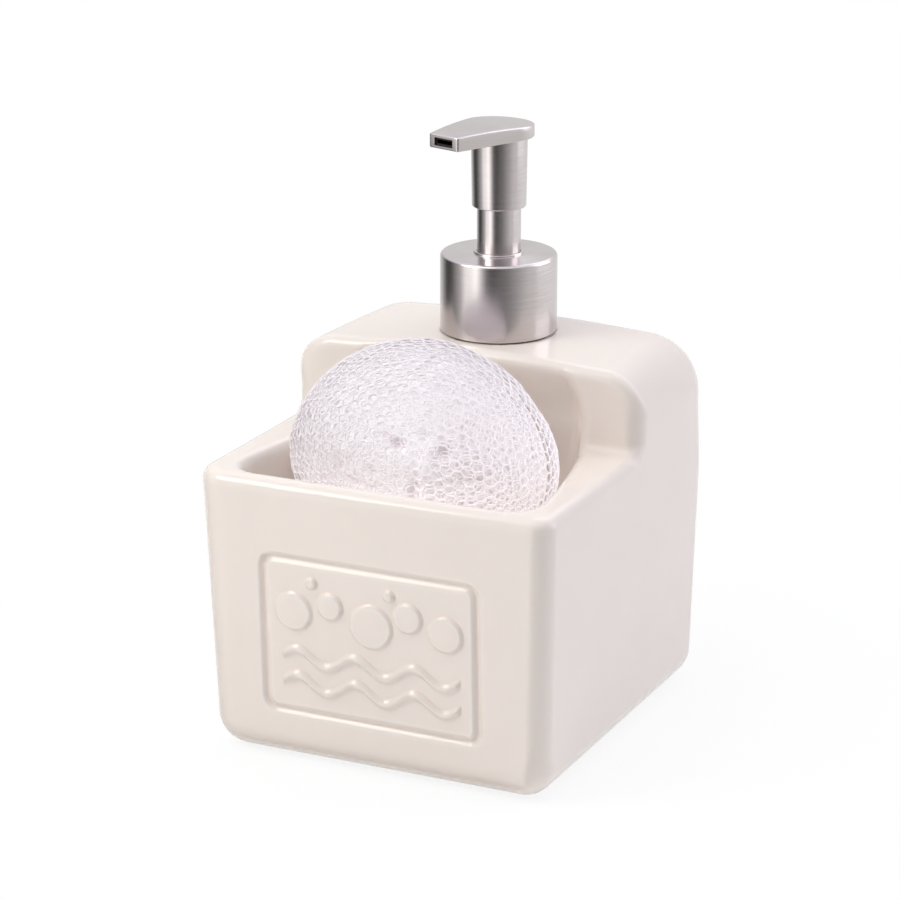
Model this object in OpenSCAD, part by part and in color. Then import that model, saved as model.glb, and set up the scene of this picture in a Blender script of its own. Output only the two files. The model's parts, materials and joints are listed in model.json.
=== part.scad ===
// Soap pump caddy: a glazed ceramic soap reservoir with an open tray in front of it,
// a metal pump on top of the tank and a round net scrubber standing in the tray.
// Millimetres. The origin is the centre of the base, Z is up, the tray faces -Y.

/* [Ceramic body] */
// Width at the top of the tank
body_w = 104; // [94:0.5:118]
// Depth from the tray's front to the tank's back
body_d = 111.5; // [104:0.5:126]
// Height of the tray's rim
tray_h = 79.5; // [72:0.5:86]
// Height of the tank's top edge
tank_h = 101.5; // [94:0.5:112]
// Depth of the tank, from its front plane to its back
tank_d = 52; // [48:0.5:58]
// Rise of the tank's top from its edge to the pump's seat
crown = 1.6; // [0.8:0.1:3]
// Lean of each side, from the top of the tank to the base
side_draft = 2.9; // [0:0.1:4]
// Lean of the front
front_draft = 3.9; // [0:0.1:5]
// Lean of the back
back_draft = 0.3; // [0:0.1:2]
// Radius of the upright edges and of the base edge
edge_r = 8.5; // [6:0.5:11]
// Radius of the tank's two upper corners, seen from the front
tank_corner_r = 14; // [10:0.5:18]
// Radius of the tank's front edges
tank_front_r = 4.5; // [3:0.5:6]
// Wall of the reservoir
wall = 5; // [4:0.25:6]
// Floor of the reservoir
floor_t = 6; // [5:0.25:8]

/* [Tray] */
// Thickness of the tray's walls at the rim
tray_wall = 7; // [6:0.25:9]
// Flat left between the two roundings of the rim
rim_flat = 0.6; // [0.2:0.1:2]
// Depth of the tray below its rim
tray_depth = 35; // [28:0.5:38]
// Radius of the tray's front corners
tray_front_r = 10; // [8:0.5:14]
// Radius of the tray's back corners
tray_back_r = 27; // [20:0.5:30]
// Radius between the tray's walls and its floor
tray_floor_r = 9; // [6:0.5:12]
// Narrowing of the tray on each side, from its rim to its floor
tray_draft = 1.5; // [0.5:0.25:3]
// How far the arched recess reaches into the tank
niche_d = 5.2; // [3:0.1:6]
// Width of the arched recess
niche_w = 71; // [60:0.5:76]
// Top of the recess below the top edge of the tank
niche_drop = 3; // [2.5:0.25:6]
// Radius of the arch's corners
niche_r = 19; // [12:0.5:20]

/* [Front panel] */
// Width of the panel, outside its groove
panel_w = 64; // [54:0.5:70]
// Height of the panel, outside its groove
panel_h = 45.5; // [38:0.5:50]
// Height of the panel's lower edge above the base
panel_low = 14.4; // [12:0.2:18]
// Corner radius of the panel
panel_r = 3.5; // [2:0.25:5]
// Width of the groove round the panel
groove_w = 2.2; // [1.4:0.1:3]
// Depth of the groove
groove_d = 1; // [0.6:0.1:1.6]
// Height of the raised bubbles and waves
relief_h = 0.9; // [0.5:0.1:1.4]
// Thickness of a raised wave line
wave_t = 2.6; // [1.8:0.1:3.2]

/* [Neck] */
// Ceramic left between the tank's hole and the arched recess
hole_wall = 3.3; // [2.5:0.1:6]
// Outside diameter of the neck, without its thread
neck_d = 25.2; // [22:0.1:30]
// Step from the neck out to the plug in the tank's hole
neck_step = 0.75; // [0.5:0.05:1.5]
// Height of the neck above the pump's seat
neck_h = 11; // [9:0.25:14]
// Wall of the neck
neck_wall = 2.4; // [1.8:0.1:3]
// How far the thread stands out from the neck
thread_h = 1.1; // [0.7:0.1:1.2]
// Pitch of the thread ridges
thread_pitch = 3.2; // [2.6:0.1:3.6]
// Width of the flange that seats in the top of the hole
flange_step = 1.2; // [1:0.1:1.4]
// Depth of the seat for that flange
flange_t = 1.6; // [1.2:0.1:2]
// Thickness of the sealing ring under the flange
seal_t = 0.5; // [0.3:0.1:0.8]

/* [Collar] */
// Space between the liner's plate and the collar's top plate
collar_room = 3.5; // [2:0.25:6]
// Wall of the collar
collar_wall = 0.8; // [0.6:0.05:1]
// Top plate of the collar
collar_top_t = 1; // [0.8:0.1:1.3]
// Roundness of the collar's edges
collar_edge_r = 0.7; // [0.3:0.05:0.8]
// Height of the lip round the collar's hole
lip_h = 0.6; // [0.3:0.1:1]
// Width of that lip
lip_w = 0.9; // [0.6:0.1:1.4]
// Wall of the threaded liner inside the collar
liner_t = 1.15; // [1:0.05:2]
// Plate of that liner
liner_plate_t = 1.5; // [1.2:0.1:2]

/* [Pump] */
// Outside diameter of the fixed guide tube
tube_d = 12; // [11:0.1:12.2]
// Wall of the guide tube
tube_wall = 0.55; // [0.5:0.05:0.7]
// How far the guide tube stands in the sleeve with the pump up
tube_cover = 4.2; // [2:0.1:8]
// Gap between the guide tube and the sleeve
sleeve_gap = 0.5; // [0.3:0.05:1]
// Wall of the sleeve at its upper end
sleeve_top_wall = 1.2; // [0.8:0.05:1.6]
// Wall of the sleeve at its lower end
sleeve_low_wall = 0.9; // [0.6:0.05:1.4]
// Space left between the guide tube and the head with the pump pressed
head_room = 3.1; // [1:0.1:6]
// Stroke of the pump
stroke = 12.1; // [8:0.1:16]
// Gap between the neck's bore and the pump barrel
barrel_gap = 2; // [0.5:0.1:3]
// Wall of the pump barrel
barrel_wall = 1.3; // [1:0.1:1.8]
// Thickness of the barrel's flange
barrel_flange_t = 1.6; // [1.2:0.1:2]
// Thickness of the gasket under that flange
gasket_t = 1; // [0.6:0.1:1.5]
// Thickness of the lock ring's flange
lock_flange_t = 1.6; // [1.2:0.1:2]
// Depth to which the lock ring plugs the barrel
lock_plug_l = 7; // [5:0.25:8]
// Wall of the lock ring's hub round the guide tube
hub_wall = 2.5; // [1.5:0.1:3.5]
// Outside diameter of the piston rod
rod_d = 7; // [6:0.1:8]
// Wall of the piston rod
rod_wall = 1.8; // [1.2:0.1:2.2]
// Length of the piston
piston_l = 9; // [7:0.25:10]
// Thickness of the rod's two flanges
rod_flange_t = 1.5; // [1:0.1:2]
// How far these flanges stand out from the rod
rod_flange_step = 1.8; // [1.2:0.1:2.4]
// Wire of the spring
wire_d = 0.9; // [0.7:0.05:1]
// Turns of the spring
coil_turns = 7; // [5:1:8]
// Thickness of the ball cage
cage_t = 2.2; // [1.8:0.1:3]
// Diameter of the inlet ball
inlet_ball_d = 5.2; // [4.8:0.1:5.6]
// Diameter of the outlet ball
outlet_ball_d = 4; // [3.8:0.1:4.2]
// Travel of a valve ball
ball_travel = 1.2; // [0.8:0.1:1.5]
// Outside diameter of the dip tube
dip_d = 6; // [5:0.1:6.4]
// Wall of the dip tube
dip_wall = 0.9; // [0.6:0.1:1.3]
// Height of the dip tube's end above the reservoir's floor
dip_clear = 3; // [2:0.25:6]
// Slant of the dip tube's end
dip_slant = 30; // [0:5:45]

/* [Head] */
// Diameter of the head's round end
head_d = 19; // [18:0.1:21]
// Reach of the spout from the pump's axis
spout_reach = 23; // [20:0.25:26]
// Width of the spout's tip
tip_w = 10; // [9:0.1:11]
// Height of the spout's tip
head_h = 3.8; // [3.4:0.1:4.4]
// Rise of the head's domed top over the tip's corners
head_crown = 0.4; // [0.2:0.05:0.5]
// Angle that the spout is turned from straight ahead
spout_turn = 15.5; // [0:0.5:45]
// Metal beside the spout's mouth
mouth_side = 1.85; // [1:0.05:2.4]
// Metal above and below the spout's mouth
mouth_edge = 0.8; // [0.6:0.05:1.1]
// Wall of the liner round the piston rod
liner_wall = 1.4; // [1:0.1:1.5]
// How far the liner lies back in the mouth
mouth_recess = 0.5; // [0.2:0.1:1]

/* [Scrubber] */
// Space beside the scrubber, on each side of the tray
scrub_side = 8.4; // [5:0.2:16]
// Space in front of the scrubber
scrub_front = 8.5; // [5:0.25:16]
// Height of the scrubber
scrub_h = 67; // [58:0.5:74]
// Angle that the scrubber leans back
scrub_lean = 12; // [0:0.5:15]
// Diameter of the gathered core
core_d = 6; // [5:0.1:8]
// Length of the tie round the core
tie_l = 9; // [6:0.25:12]

/* [Fits] */
// Gap between pieces that rest on each other but come apart
rest_gap = 0.3; // [0.2:0.05:0.5]
// Radial gap of a running fit
run_gap = 0.05; // [0.02:0.01:0.09]
// Radial gap of a fixed fit
fix_gap = 0.05; // [0.02:0.01:0.1]
// Radial gap round a part that is bonded in
bond_gap = 0.15; // [0.1:0.05:0.3]

/* [Hidden] */
round_fn = 96;
hull_fn = 32;
wire_sides = 8;
wire_steps = 24;
// Overrun of a cut past the surface it leaves
over = 0.6;

// Places on the ceramic body
hole_d = neck_d + 2 * (neck_step + bond_gap);
tank_front = body_d / 2 - tank_d;
seat_z = tank_h + crown;
pump_y = tank_front + niche_d + hole_wall + hole_d / 2;
rim_r = (tray_wall - rim_flat) / 2;
tray_floor = tray_h - tray_depth;
tray_half = body_w / 2 - side_draft * (tank_h - tray_h) / tank_h - tray_wall;
tray_front = -body_d / 2 + tray_wall;
tray_back = tank_front + niche_d;
back_r = min(tray_back_r, (tray_back - tray_front) / 2 - tray_draft);
niche_top = tank_h - niche_drop;
roof = tank_h - wall;
inner_r = max(edge_r - wall, wall / 2);
front_lean = atan(front_draft / tank_h);
panel_mid = panel_low + panel_h / 2;

// Places up the neck and the collar
neck_bore_d = neck_d - 2 * neck_wall;
neck_top = seat_z + neck_h;
flange_z = neck_top + rest_gap + gasket_t;
barrel_top = flange_z + barrel_flange_t;
lock_top = barrel_top + lock_flange_t;
liner_plate_z = lock_top + rest_gap;
thread_r = neck_d / 2 + thread_h;
collar_d = 2 * (thread_r + rest_gap + liner_t + fix_gap + collar_wall);
collar_low = seat_z + rest_gap;
collar_top = liner_plate_z + liner_plate_t + collar_room + collar_top_t;
collar_h = collar_top - collar_low;
hub_d = tube_d + 2 * hub_wall;
hub_top = collar_top - collar_top_t - rest_gap;

// Places up the sleeve and the head
sleeve_bore_d = tube_d + 2 * sleeve_gap;
sleeve_low_d = sleeve_bore_d + 2 * sleeve_low_wall;
sleeve_top_d = sleeve_bore_d + 2 * sleeve_top_wall;
sleeve_low = collar_top + lip_h + rest_gap + stroke;
sleeve_h = stroke + tube_cover + head_room;
tube_top = sleeve_low + tube_cover;
head_low = sleeve_low + sleeve_h;
head_top = head_low + head_h;
mouth_w = tip_w - 2 * mouth_side;
mouth_h = head_h - 2 * mouth_edge;
mouth_z = head_low + head_h / 2;

// Radius of a ball's seat, as a share of the ball's diameter
ball_seat_share = 0.4;

// Places down the pump
barrel_d = neck_bore_d - 2 * barrel_gap;
barrel_bore_d = barrel_d - 2 * barrel_wall;
barrel_flange_d = neck_d;
rod_bore_d = rod_d - 2 * rod_wall;
rod_flange_d = rod_d + 2 * rod_flange_step;
coil_d = rod_flange_d - wire_d - rest_gap;
coil_closed = (coil_turns + 1) * wire_d + 2 * rest_gap;
dip_bore_d = dip_d - 2 * dip_wall;
shoulder_top = barrel_top - lock_plug_l - rest_gap;
piston_top = shoulder_top - rod_flange_t - rest_gap;
piston_low = piston_top - piston_l;
rod_low = piston_low - rest_gap - rod_flange_t;
barrel_floor = rod_low - stroke - coil_closed - cage_t;
chamber_r = inlet_ball_d / 2 + 2 * rest_gap;
inlet_seat_r = inlet_ball_d * ball_seat_share;
inlet_seat_z = barrel_floor - rest_gap - ball_travel - inlet_ball_d / 2 - ball_height(inlet_ball_d);
socket_l = 2 * dip_d;
socket_top = inlet_seat_z - barrel_wall;
dip_low = floor_t + dip_clear;
plug_r = rod_d / 2 + liner_wall;
rod_top = mouth_z - mouth_h / 2;
outlet_seat_r = outlet_ball_d * ball_seat_share;
outlet_seat_z = rod_top - rest_gap - ball_travel - outlet_ball_d / 2 - ball_height(outlet_ball_d);

// Size and place of the scrubber, which leans on the tank and stands on the tray's floor
scrub_w = 2 * (tray_half - scrub_side);
scrub_back = tank_front - 2 * rest_gap;
scrub_half_y = (scrub_back - tray_front - scrub_front) / 2;
scrub_rise = scrub_h / 2 * sin(scrub_lean);
scrub_t = 2 * sqrt(scrub_half_y * scrub_half_y - scrub_rise * scrub_rise) / cos(scrub_lean);
scrub_half_z = norm([scrub_t / 2 * sin(scrub_lean), scrub_h / 2 * cos(scrub_lean)]);
scrub_y = scrub_back - scrub_half_y;
scrub_z = tray_floor + rest_gap + scrub_half_z;

// Height of a ball's middle above the edge of the seat that it lies in
function ball_height(d) = d * sqrt(0.25 - ball_seat_share * ball_seat_share) + rest_gap / 2;
function side_x(z) = body_w / 2 - side_draft * (1 - z / tank_h);
function front_y(z) = -body_d / 2 + front_draft * (tray_h - z) / tank_h;
function back_y(z) = body_d / 2 - back_draft * (1 - z / tank_h);

// A ring of circular section, for rounded corners
module torus(r, e) {
    rotate_extrude($fn = hull_fn) intersection() {
        translate([r - e, 0]) circle(e, $fn = hull_fn);
        translate([0, -e]) square([r, 2 * e]);
    }
}

// A rectangle with rounded corners, centred
module rounded_rect(w, h, r) {
    square([w - 2 * r, h], center = true);
    square([w, h - 2 * r], center = true);
    for (x = [-1, 1], y = [-1, 1])
        translate([x * (w / 2 - r), y * (h / 2 - r)]) circle(r, $fn = hull_fn);
}

// A tube standing on z0
module tube(r, bore_r, z0, z1) {
    difference() {
        translate([0, 0, z0]) cylinder(r = r, h = z1 - z0, $fn = round_fn);
        translate([0, 0, z0 - over]) cylinder(r = bore_r, h = z1 - z0 + 2 * over, $fn = round_fn);
    }
}

// Moves its children onto the pump's axis
module at_pump() {
    translate([0, pump_y, 0]) children();
}

// Turns its children from -Y to the spout's direction
module at_spout() {
    at_pump() rotate([0, 0, -90 - spout_turn]) children();
}

// Lays a flat design on the leaning front, its Z pointing out
module on_front() {
    translate([0, front_y(panel_mid), panel_mid]) rotate([90 + front_lean, 0, 0]) children();
}

module tray_block() {
    low = edge_r;
    high = tray_h - rim_r;
    hull() {
        for (x = [-1, 1]) {
            translate([x * (side_x(low) - edge_r), front_y(low) + edge_r, low]) sphere(edge_r, $fn = hull_fn);
            translate([x * (side_x(low) - edge_r), back_y(low) - edge_r, low]) sphere(edge_r, $fn = hull_fn);
            translate([x * (side_x(high) - edge_r), front_y(high) + edge_r, high]) torus(edge_r, rim_r);
            translate([x * (side_x(high) - edge_r), back_y(high) - edge_r, high]) torus(edge_r, rim_r);
        }
    }
}

module tank_block() {
    low = edge_r;
    high = tank_h - tank_corner_r;
    hull() {
        for (x = [-1, 1]) {
            translate([x * (side_x(low) - edge_r), tank_front + edge_r, low]) sphere(edge_r, $fn = hull_fn);
            translate([x * (side_x(low) - edge_r), back_y(low) - edge_r, low]) sphere(edge_r, $fn = hull_fn);
            translate([x * (side_x(high) - tank_corner_r), tank_front + tank_front_r, high])
                rotate([90, 0, 0]) torus(tank_corner_r, tank_front_r);
            translate([x * (side_x(high) - tank_corner_r), back_y(high) - edge_r, high])
                rotate([90, 0, 0]) torus(tank_corner_r, edge_r);
        }
        at_pump() translate([0, 0, roof]) cylinder(d = collar_d, h = seat_z - roof, $fn = hull_fn);
    }
}

// The tray's room and, above its rim, the arched recess in the tank's front
module tray_room() {
    arch_r = min(niche_r, niche_w / 2 - rim_r);
    intersection() {
        hull() {
            for (x = [-1, 1]) {
                translate([x * (tray_half - tray_draft - tray_floor_r), tray_front + tray_draft + tray_floor_r,
                    tray_floor + tray_floor_r]) sphere(tray_floor_r, $fn = hull_fn);
                translate([x * (tray_half - tray_draft - back_r), tray_back - tray_draft - back_r,
                    tray_floor + tray_floor_r]) torus(back_r, tray_floor_r);
                translate([x * (tray_half - tray_front_r), tray_front + tray_front_r, tray_h - rim_r])
                    cylinder(r = tray_front_r, h = niche_top - tray_h + rim_r, $fn = hull_fn);
                translate([x * (tray_half - back_r), tray_back - back_r, tray_h - rim_r])
                    cylinder(r = back_r, h = niche_top - tray_h + rim_r, $fn = round_fn / 2);
            }
        }
        translate([0, body_d / 2, 0]) rotate([90, 0, 0]) linear_extrude(body_d) {
            translate([-body_w / 2, 0]) square([body_w, tray_h]);
            translate([-niche_w / 2, tray_h / 2]) square([niche_w, niche_top - arch_r - tray_h / 2]);
            translate([-niche_w / 2 + arch_r, tray_h / 2]) square([niche_w - 2 * arch_r, niche_top - tray_h / 2]);
            for (x = [-1, 1])
                translate([x * (niche_w / 2 - arch_r), niche_top - arch_r]) circle(arch_r, $fn = round_fn);
        }
    }
}

// The bevel inside the tray's rim
module rim_bevel() {
    hull()
        for (x = [-1, 1], step = [0, 1]) {
            translate([x * (tray_half - tray_front_r), tray_front + tray_front_r, tray_h - rim_r * (1 - step)])
                cylinder(r = tray_front_r + rim_r * step, h = over, $fn = hull_fn);
            translate([x * (tray_half - back_r), tray_back - back_r - rim_r, tray_h - rim_r * (1 - step)])
                cylinder(r = back_r + rim_r * step, h = over, $fn = hull_fn);
        }
}

// The soap's room: one space under the tray and one in the tank
module soap_room() {
    low_top = tray_floor - wall;
    upper_front = tray_back + wall;
    corner = tank_corner_r - wall;
    hull()
        for (x = [-1, 1], z = [floor_t, low_top - over]) {
            translate([x * (side_x(z) - wall - inner_r), front_y(z) + wall + inner_r, z])
                cylinder(r = inner_r, h = over, $fn = hull_fn);
            translate([x * (side_x(z) - wall - inner_r), back_y(z) - wall - inner_r, z])
                cylinder(r = inner_r, h = over, $fn = hull_fn);
        }
    hull()
        for (x = [-1, 1]) {
            for (y = [upper_front + inner_r, back_y(floor_t) - wall - inner_r])
                translate([x * (side_x(floor_t) - wall - inner_r), y, floor_t])
                    cylinder(r = inner_r, h = over, $fn = hull_fn);
            translate([x * (side_x(roof) - wall - corner), back_y(roof) - wall, roof - corner])
                rotate([90, 0, 0]) cylinder(r = corner, h = back_y(roof) - wall - upper_front, $fn = round_fn / 2);
        }
}

// A raised bubble: a low disc with a bevelled edge
module bubble(r) {
    translate([0, 0, -over]) cylinder(r = r, h = over, $fn = hull_fn);
    cylinder(r1 = r, r2 = r - relief_h, h = relief_h, $fn = hull_fn);
}

// Height of a wave's middle line at a share of its length
function wave_line(share, rise) = rise * sin(360 * wave_count * share);

// A raised wave: a flat band along a sine line
module wave(length, rise) {
    steps = 12 * wave_count;
    translate([0, 0, -over]) linear_extrude(over + wave_h_share * relief_h)
        polygon([for (side = [-1, 1], i = [0 : steps])
            let (share = (side < 0 ? i : steps - i) / steps)
            [(share - 0.5) * length, wave_line(share, rise) + side * wave_t / 2]]);
}

// Places and sizes of the relief, as shares of the panel inside its groove
bubble_x_shares = [-0.37, -0.19, 0.01, 0.19, 0.37, -0.28, 0.1];
bubble_y_shares = [0.17, 0.24, 0.15, 0.25, 0.18, 0.38, 0.38];
bubble_r_shares = [0.14, 0.1, 0.16, 0.11, 0.13, 0.05, 0.05];
wave_y_shares = [-0.14, -0.32];
wave_l_share = 0.86;
wave_rise_share = 0.05;
wave_h_share = 0.8;
wave_count = 3;

module front_relief() {
    inner_w = panel_w - 2 * groove_w;
    inner_h = panel_h - 2 * groove_w;
    for (i = [0 : len(bubble_x_shares) - 1])
        translate([bubble_x_shares[i] * inner_w, bubble_y_shares[i] * inner_h, 0])
            bubble(bubble_r_shares[i] * inner_h);
    for (y = wave_y_shares)
        translate([0, y * inner_h, 0]) wave(wave_l_share * inner_w, wave_rise_share * inner_h);
}

module ceramic_body() {
    color("linen") {
        difference() {
            union() {
                tray_block();
                tank_block();
            }
            tray_room();
            rim_bevel();
            soap_room();
            at_pump() {
                translate([0, 0, roof - wall]) cylinder(d = hole_d, h = 2 * wall + crown + over, $fn = round_fn);
                translate([0, 0, seat_z - flange_t]) cylinder(r = hole_d / 2 + flange_step, h = flange_t + over,
                    $fn = round_fn);
            }
            on_front() translate([0, 0, -groove_d]) linear_extrude(groove_d + over) difference() {
                rounded_rect(panel_w, panel_h, panel_r);
                rounded_rect(panel_w - 2 * groove_w, panel_h - 2 * groove_w, panel_r - groove_w / 2);
            }
        }
        on_front() front_relief();
    }
}

module insert_seal() {
    color("dimgray") at_pump()
        tube(hole_d / 2 + flange_step - bond_gap, hole_d / 2 + bond_gap, seat_z - flange_t, seat_z - flange_t + seal_t);
}

// The threaded neck that is bonded into the hole of the tank
module neck_insert() {
    flange_low = seat_z - flange_t + seal_t;
    ridge_top = neck_top - thread_pitch / 2;
    color("ivory") at_pump() difference() {
        union() {
            translate([0, 0, roof]) cylinder(r = hole_d / 2 - bond_gap, h = flange_low - roof, $fn = round_fn);
            translate([0, 0, flange_low]) cylinder(r = hole_d / 2 + flange_step - bond_gap, h = seat_z - flange_low,
                $fn = round_fn);
            translate([0, 0, flange_low]) cylinder(d = neck_d, h = neck_top - flange_low, $fn = round_fn);
            for (i = [0 : 2]) translate([0, 0, ridge_top - i * thread_pitch]) thread_ridge();
        }
        translate([0, 0, roof - over]) cylinder(d = neck_bore_d, h = neck_top - roof + 2 * over, $fn = round_fn);
    }
}

module thread_ridge() {
    half = thread_pitch / 4;
    rotate_extrude($fn = round_fn)
        polygon([[neck_d / 2 - thread_h, half], [neck_d / 2, half], [thread_r, half / 2], [thread_r, -half / 2],
            [neck_d / 2, -half], [neck_d / 2 - thread_h, -half]]);
}

module collar() {
    r = collar_d / 2;
    hole_r = tube_d / 2 + run_gap;
    e = collar_edge_r;
    color("silver") at_pump() difference() {
        union() {
            rotate_extrude($fn = round_fn) {
                translate([0, collar_low]) square([r - e, collar_h]);
                translate([0, collar_low + e]) square([r, collar_h - 2 * e]);
                for (z = [collar_low + e, collar_top - e]) translate([r - e, z]) circle(e, $fn = hull_fn);
            }
            translate([0, 0, collar_top - over]) cylinder(r = hole_r + lip_w, h = lip_h + over, $fn = round_fn);
        }
        translate([0, 0, collar_low - over]) cylinder(r = r - collar_wall, h = collar_h - collar_top_t + over,
            $fn = round_fn);
        translate([0, 0, collar_top - 2 * collar_top_t]) cylinder(r = hole_r, h = 2 * collar_top_t + lip_h + over,
            $fn = round_fn);
    }
}

// The closure inside the collar: it clears the neck's thread and holds the pump down
module collar_liner() {
    r = collar_d / 2 - collar_wall - fix_gap;
    color("whitesmoke") at_pump() {
        tube(r, thread_r + rest_gap, collar_low + collar_edge_r, liner_plate_z + liner_plate_t);
        tube(thread_r + 2 * rest_gap, hub_d / 2 + rest_gap, liner_plate_z, liner_plate_z + liner_plate_t);
        tube(r, r - collar_wall - rest_gap, liner_plate_z, collar_top - collar_top_t);
    }
}

module neck_gasket() {
    color("dimgray") at_pump()
        tube(barrel_flange_d / 2, neck_bore_d / 2 + rest_gap, flange_z - gasket_t, flange_z);
}

module pump_barrel() {
    r = barrel_d / 2;
    bore = barrel_bore_d / 2;
    t = barrel_wall;
    color("ivory") at_pump() rotate_extrude($fn = round_fn) difference() {
        polygon([[0, barrel_top], [barrel_flange_d / 2, barrel_top], [barrel_flange_d / 2, flange_z],
            [r, flange_z], [r, barrel_floor - t], [chamber_r + t, barrel_floor - t - (r - chamber_r - t)],
            [chamber_r + t, inlet_seat_z - t], [dip_d / 2 + t, socket_top - t],
            [dip_d / 2 + t, socket_top - socket_l], [0, socket_top - socket_l]]);
        polygon([[-over, barrel_top + over], [bore, barrel_top + over], [bore, barrel_floor],
            [chamber_r, barrel_floor], [chamber_r, inlet_seat_z], [inlet_seat_r, inlet_seat_z],
            [inlet_seat_r, socket_top], [dip_d / 2 + fix_gap, socket_top],
            [dip_d / 2 + fix_gap, socket_top - socket_l - over], [-over, socket_top - socket_l - over]]);
    }
}

module lock_ring() {
    color("ivory") at_pump() rotate_extrude($fn = round_fn) difference() {
        polygon([[0, hub_top], [hub_d / 2, hub_top], [hub_d / 2, lock_top], [barrel_flange_d / 2, lock_top],
            [barrel_flange_d / 2, barrel_top], [barrel_bore_d / 2 - fix_gap, barrel_top],
            [barrel_bore_d / 2 - fix_gap, barrel_top - lock_plug_l], [0, barrel_top - lock_plug_l]]);
        polygon([[-over, hub_top + over], [tube_d / 2 + fix_gap, hub_top + over],
            [tube_d / 2 + fix_gap, lock_top], [rod_d / 2 + run_gap, lock_top],
            [rod_d / 2 + run_gap, barrel_top - lock_plug_l - over], [-over, barrel_top - lock_plug_l - over]]);
    }
}

module guide_tube() {
    color("silver") at_pump() tube(tube_d / 2, tube_d / 2 - tube_wall, lock_top, tube_top);
}

// The slotted ring that keeps the inlet ball down and carries the spring
module ball_cage() {
    r = barrel_bore_d / 2 - fix_gap;
    color("whitesmoke") at_pump() difference() {
        translate([0, 0, barrel_floor]) cylinder(r = r, h = cage_t, $fn = round_fn);
        translate([0, 0, barrel_floor - over]) cylinder(r = inlet_seat_r, h = cage_t + 2 * over, $fn = round_fn);
        for (a = [0 : 60 : 300])
            rotate([0, 0, a]) translate([inlet_seat_r + wire_d, 0, barrel_floor - over])
                cylinder(d = wire_d, h = cage_t + 2 * over, $fn = hull_fn);
    }
}

module inlet_ball() {
    color("silver") at_pump()
        translate([0, 0, inlet_seat_z + ball_height(inlet_ball_d)]) sphere(d = inlet_ball_d, $fn = round_fn);
}

module outlet_ball() {
    color("silver") at_pump()
        translate([0, 0, outlet_seat_z + ball_height(outlet_ball_d)]) sphere(d = outlet_ball_d, $fn = round_fn);
}

module dip_tube() {
    color("whitesmoke") at_pump() difference() {
        tube(dip_d / 2, dip_bore_d / 2, dip_low, socket_top);
        translate([0, 0, dip_low]) rotate([0, -dip_slant, 0]) translate([-2 * dip_d, -dip_d, -2 * dip_d])
            cube([4 * dip_d, 2 * dip_d, 2 * dip_d]);
    }
}

// Points of the spring's wire: one ring across the wire at each step of the helix
function wire_ring(r, wire_r, a, z) = [for (k = [0 : wire_sides - 1])
    let (b = 360 * k / wire_sides, x = r + wire_r * cos(b))
    [x * cos(a), x * sin(a), z + wire_r * sin(b)]];

module spring() {
    wire_r = wire_d / 2;
    low = barrel_floor + cage_t + run_gap + wire_r;
    high = rod_low - run_gap - wire_r;
    steps = coil_turns * wire_steps;
    points = [for (i = [0 : steps])
        each wire_ring(coil_d / 2, wire_r, 360 * i / wire_steps, low + (high - low) * i / steps)];
    last = steps * wire_sides;
    faces = concat([[for (k = [0 : wire_sides - 1]) k]],
        [for (i = [0 : steps - 1], k = [0 : wire_sides - 1])
            let (n = (k + 1) % wire_sides)
            [i * wire_sides + k, (i + 1) * wire_sides + k, (i + 1) * wire_sides + n, i * wire_sides + n]],
        [[for (k = [wire_sides - 1 : -1 : 0]) last + k]]);
    color("silver") at_pump() polyhedron(points, faces, convexity = 10);
}

module piston() {
    r = barrel_bore_d / 2 - run_gap;
    lip = piston_l / 4;
    color("whitesmoke") at_pump() rotate_extrude($fn = round_fn) difference() {
        polygon([[0, piston_low], [r, piston_low], [r, piston_low + lip], [r - over, piston_low + 1.5 * lip],
            [r - over, piston_top - 1.5 * lip], [r, piston_top - lip], [r, piston_top], [0, piston_top]]);
        translate([-over, piston_low - over]) square([rod_d / 2 + run_gap + over, piston_l + 2 * over]);
    }
}

module piston_rod() {
    bore = rod_bore_d / 2;
    color("whitesmoke") at_pump() rotate_extrude($fn = round_fn) difference() {
        union() {
            translate([0, rod_low]) square([rod_d / 2, rod_top - rod_low]);
            for (z = [rod_low, shoulder_top - rod_flange_t])
                translate([0, z]) square([rod_flange_d / 2, rod_flange_t]);
        }
        polygon([[-over, rod_low - over], [bore, rod_low - over], [bore, outlet_seat_z - bore],
            [outlet_seat_r, outlet_seat_z - bore], [outlet_seat_r, outlet_seat_z],
            [outlet_ball_d / 2 + rest_gap, outlet_seat_z], [outlet_ball_d / 2 + rest_gap, head_top],
            [-over, head_top]]);
    }
}

module sleeve() {
    color("silver") at_pump() difference() {
        translate([0, 0, sleeve_low])
            cylinder(d1 = sleeve_low_d, d2 = sleeve_top_d, h = sleeve_h, $fn = round_fn);
        translate([0, 0, sleeve_low - over]) cylinder(d = sleeve_bore_d, h = sleeve_h + 2 * over, $fn = round_fn);
    }
}

// The head's outline: a round end that narrows to the spout's tip
module head_outline() {
    r = head_d / 2;
    a = atan((r - tip_w / 2) / spout_reach);
    circle(r, $fn = round_fn);
    polygon([[r * sin(a), -r * cos(a)], [spout_reach, -tip_w / 2], [spout_reach, tip_w / 2],
        [r * sin(a), r * cos(a)]]);
}

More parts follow.
